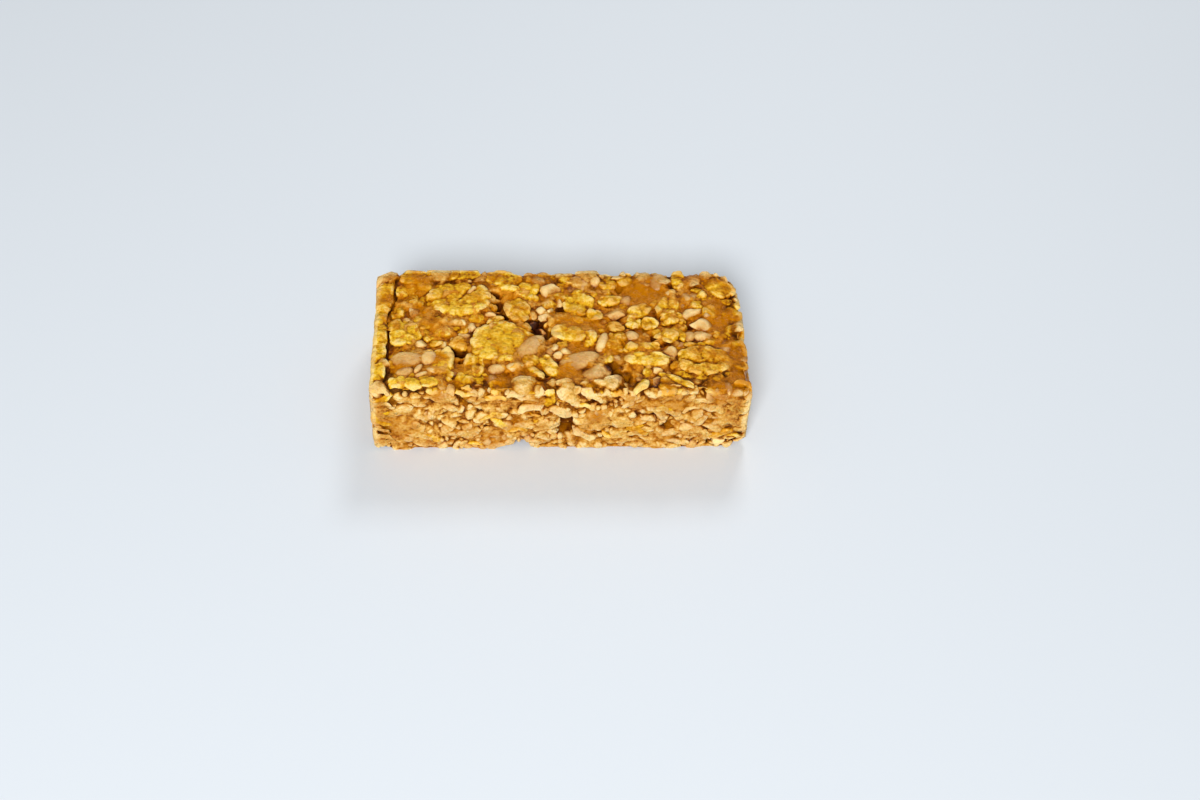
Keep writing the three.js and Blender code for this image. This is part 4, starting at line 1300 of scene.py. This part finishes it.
def caramelFinish():
    # Cooked sugar and butter: clear amber where it is thin and stands high, red brown where it lies deep,
    # which is partly its own deeper colour and partly painted shade.
    material, tree, shader, coords, values = newMaterial("cookedCaramel")
    clear = [(0, "#421600"), (1, "#f4b84c"), (0.3, "#864100"), (0.52, "#bc700a"), (0.75, "#d88c20")]
    mealy = [(0, "#542403"), (1, "#f6d084"), (0.3, "#9a5a10"), (0.52, "#ca8e36"), (0.75, "#dfac56")]
    dark, light = (-1.2, 0.7, clear), (-0.9, 0.6, mealy, 0.16)
    base = toned(tree, values, coords, values["tone"], dark, light)
    base, film = glazed(tree, values, coords, base, "#bb7002", spread=0.45)
    finish(tree, shader, base, film, dull=0.4, glossy=0.2)
    setShader(shader, IOR=1.47, Specular_IOR_Level=0.2, Specular_Tint=colour("#ffac40"))
    setShader(shader, Subsurface_Weight=0.06, Subsurface_Scale=0.0006)
    grain(tree, shader, coords, [(2.0, 0.6), (0.7, 0.28)])
    return material


def floorFinish():
    material = bpy.data.materials.new("paleTable")
    material.use_nodes = True
    setShader(material.node_tree.nodes["Principled BSDF"], Base_Color=colour("#e4ebf2"), Roughness=0.6)
    return material


flakeMaterial, nutMaterial, crumbMaterial = flakeFinish(), nutFinish(), crumbFinish()
topFlakes = makeTopFlakes(flakeMaterial)
topNuts = makeTopPeanuts(nutMaterial)
footNut = makeFootPeanut(nutMaterial)
print("flakes and nuts on top")

frontFlakes, frontLumps = makeFrontPieces(flakeMaterial, crumbMaterial)
packed = packPieces(makeVariants(flakeMaterial, crumbMaterial, nutMaterial))
cutFlakes = joined(frontFlakes + packed["flakeBit"] + packed["flakeChip"] + packed["flakeLump"], "cutFlakes")
crumbs = joined(frontLumps + packed["largeCrumb"], "crumbs")
fineCrumbs = joined(packed["smallCrumb"], "fineCrumbs")
nuts = joined(topNuts + [footNut] + packed["nutBit"], "peanuts")
pieces = {"cornflake": [topFlakes, cutFlakes], "peanut": [nuts], "granola": [crumbs, fineCrumbs]}
smoothAngle = 55
for piece in sum(pieces.values(), []):
    writePoints(piece, trimmed(readPoints(piece)))
    onlySelect(piece)
    bpy.ops.object.shade_smooth_by_angle(angle=math.radians(smoothAngle))
    print(piece.name, len(piece.data.polygons), "faces")

pour = pourCaramel(sum(pieces.values(), []), caramelFinish())
pieces["granola"].append(pour)
onlySelect(pour)
bpy.ops.object.shade_smooth()
print("caramel", len(pour.data.polygons), "faces")

measureRelief(sum(pieces.values(), []))
markSpots(sum(pieces.values(), []))
print("relief measured")

for slot, made in pieces.items():
    for piece in made:
        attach(piece, "root")
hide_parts("granola_bar")

studio = {
    "key": {"place": (-0.26, -1.25, 1.0), "size": 0.5, "power": 24},
    "back": {"place": (0.25, 0.9, 0.9), "size": 0.35, "power": 4},
    "world": 0.26,
    "floor": 3,
    "camera": {"place": (-0.0148, -0.3495, 0.3576), "yaw": 4.60, "pitch": 46.03, "roll": 3.14, "lens": 48.4},
}

bpy.ops.mesh.primitive_plane_add(size=studio["floor"], location=(0, 0, 0))
floor = named("table")
floor.data.materials.append(floorFinish())

for name in ("key", "back"):
    light = studio[name]
    bpy.ops.object.light_add(type="AREA", location=light["place"])
    lamp = bpy.context.object
    lamp.name = name
    lamp.data.size = light["size"]
    lamp.data.energy = light["power"]
    lamp.rotation_euler = Vector(light["place"]).to_track_quat("Z", "Y").to_euler()

world = bpy.data.worlds.new("studio")
bpy.context.scene.world = world
world.use_nodes = True
world.node_tree.nodes["Background"].inputs["Color"].default_value = (1, 1, 1, 1)
world.node_tree.nodes["Background"].inputs["Strength"].default_value = studio["world"]

view = studio["camera"]
bpy.ops.object.camera_add(location=view["place"])
camera = bpy.context.object
camera.data.lens = view["lens"]
aim = turned("Z", -view["yaw"]) @ turned("X", 90 - view["pitch"]) @ turned("Z", view["roll"])
camera.rotation_euler = aim.to_euler()
bpy.context.scene.camera = camera
bpy.context.scene.view_settings.view_transform = "Standard"
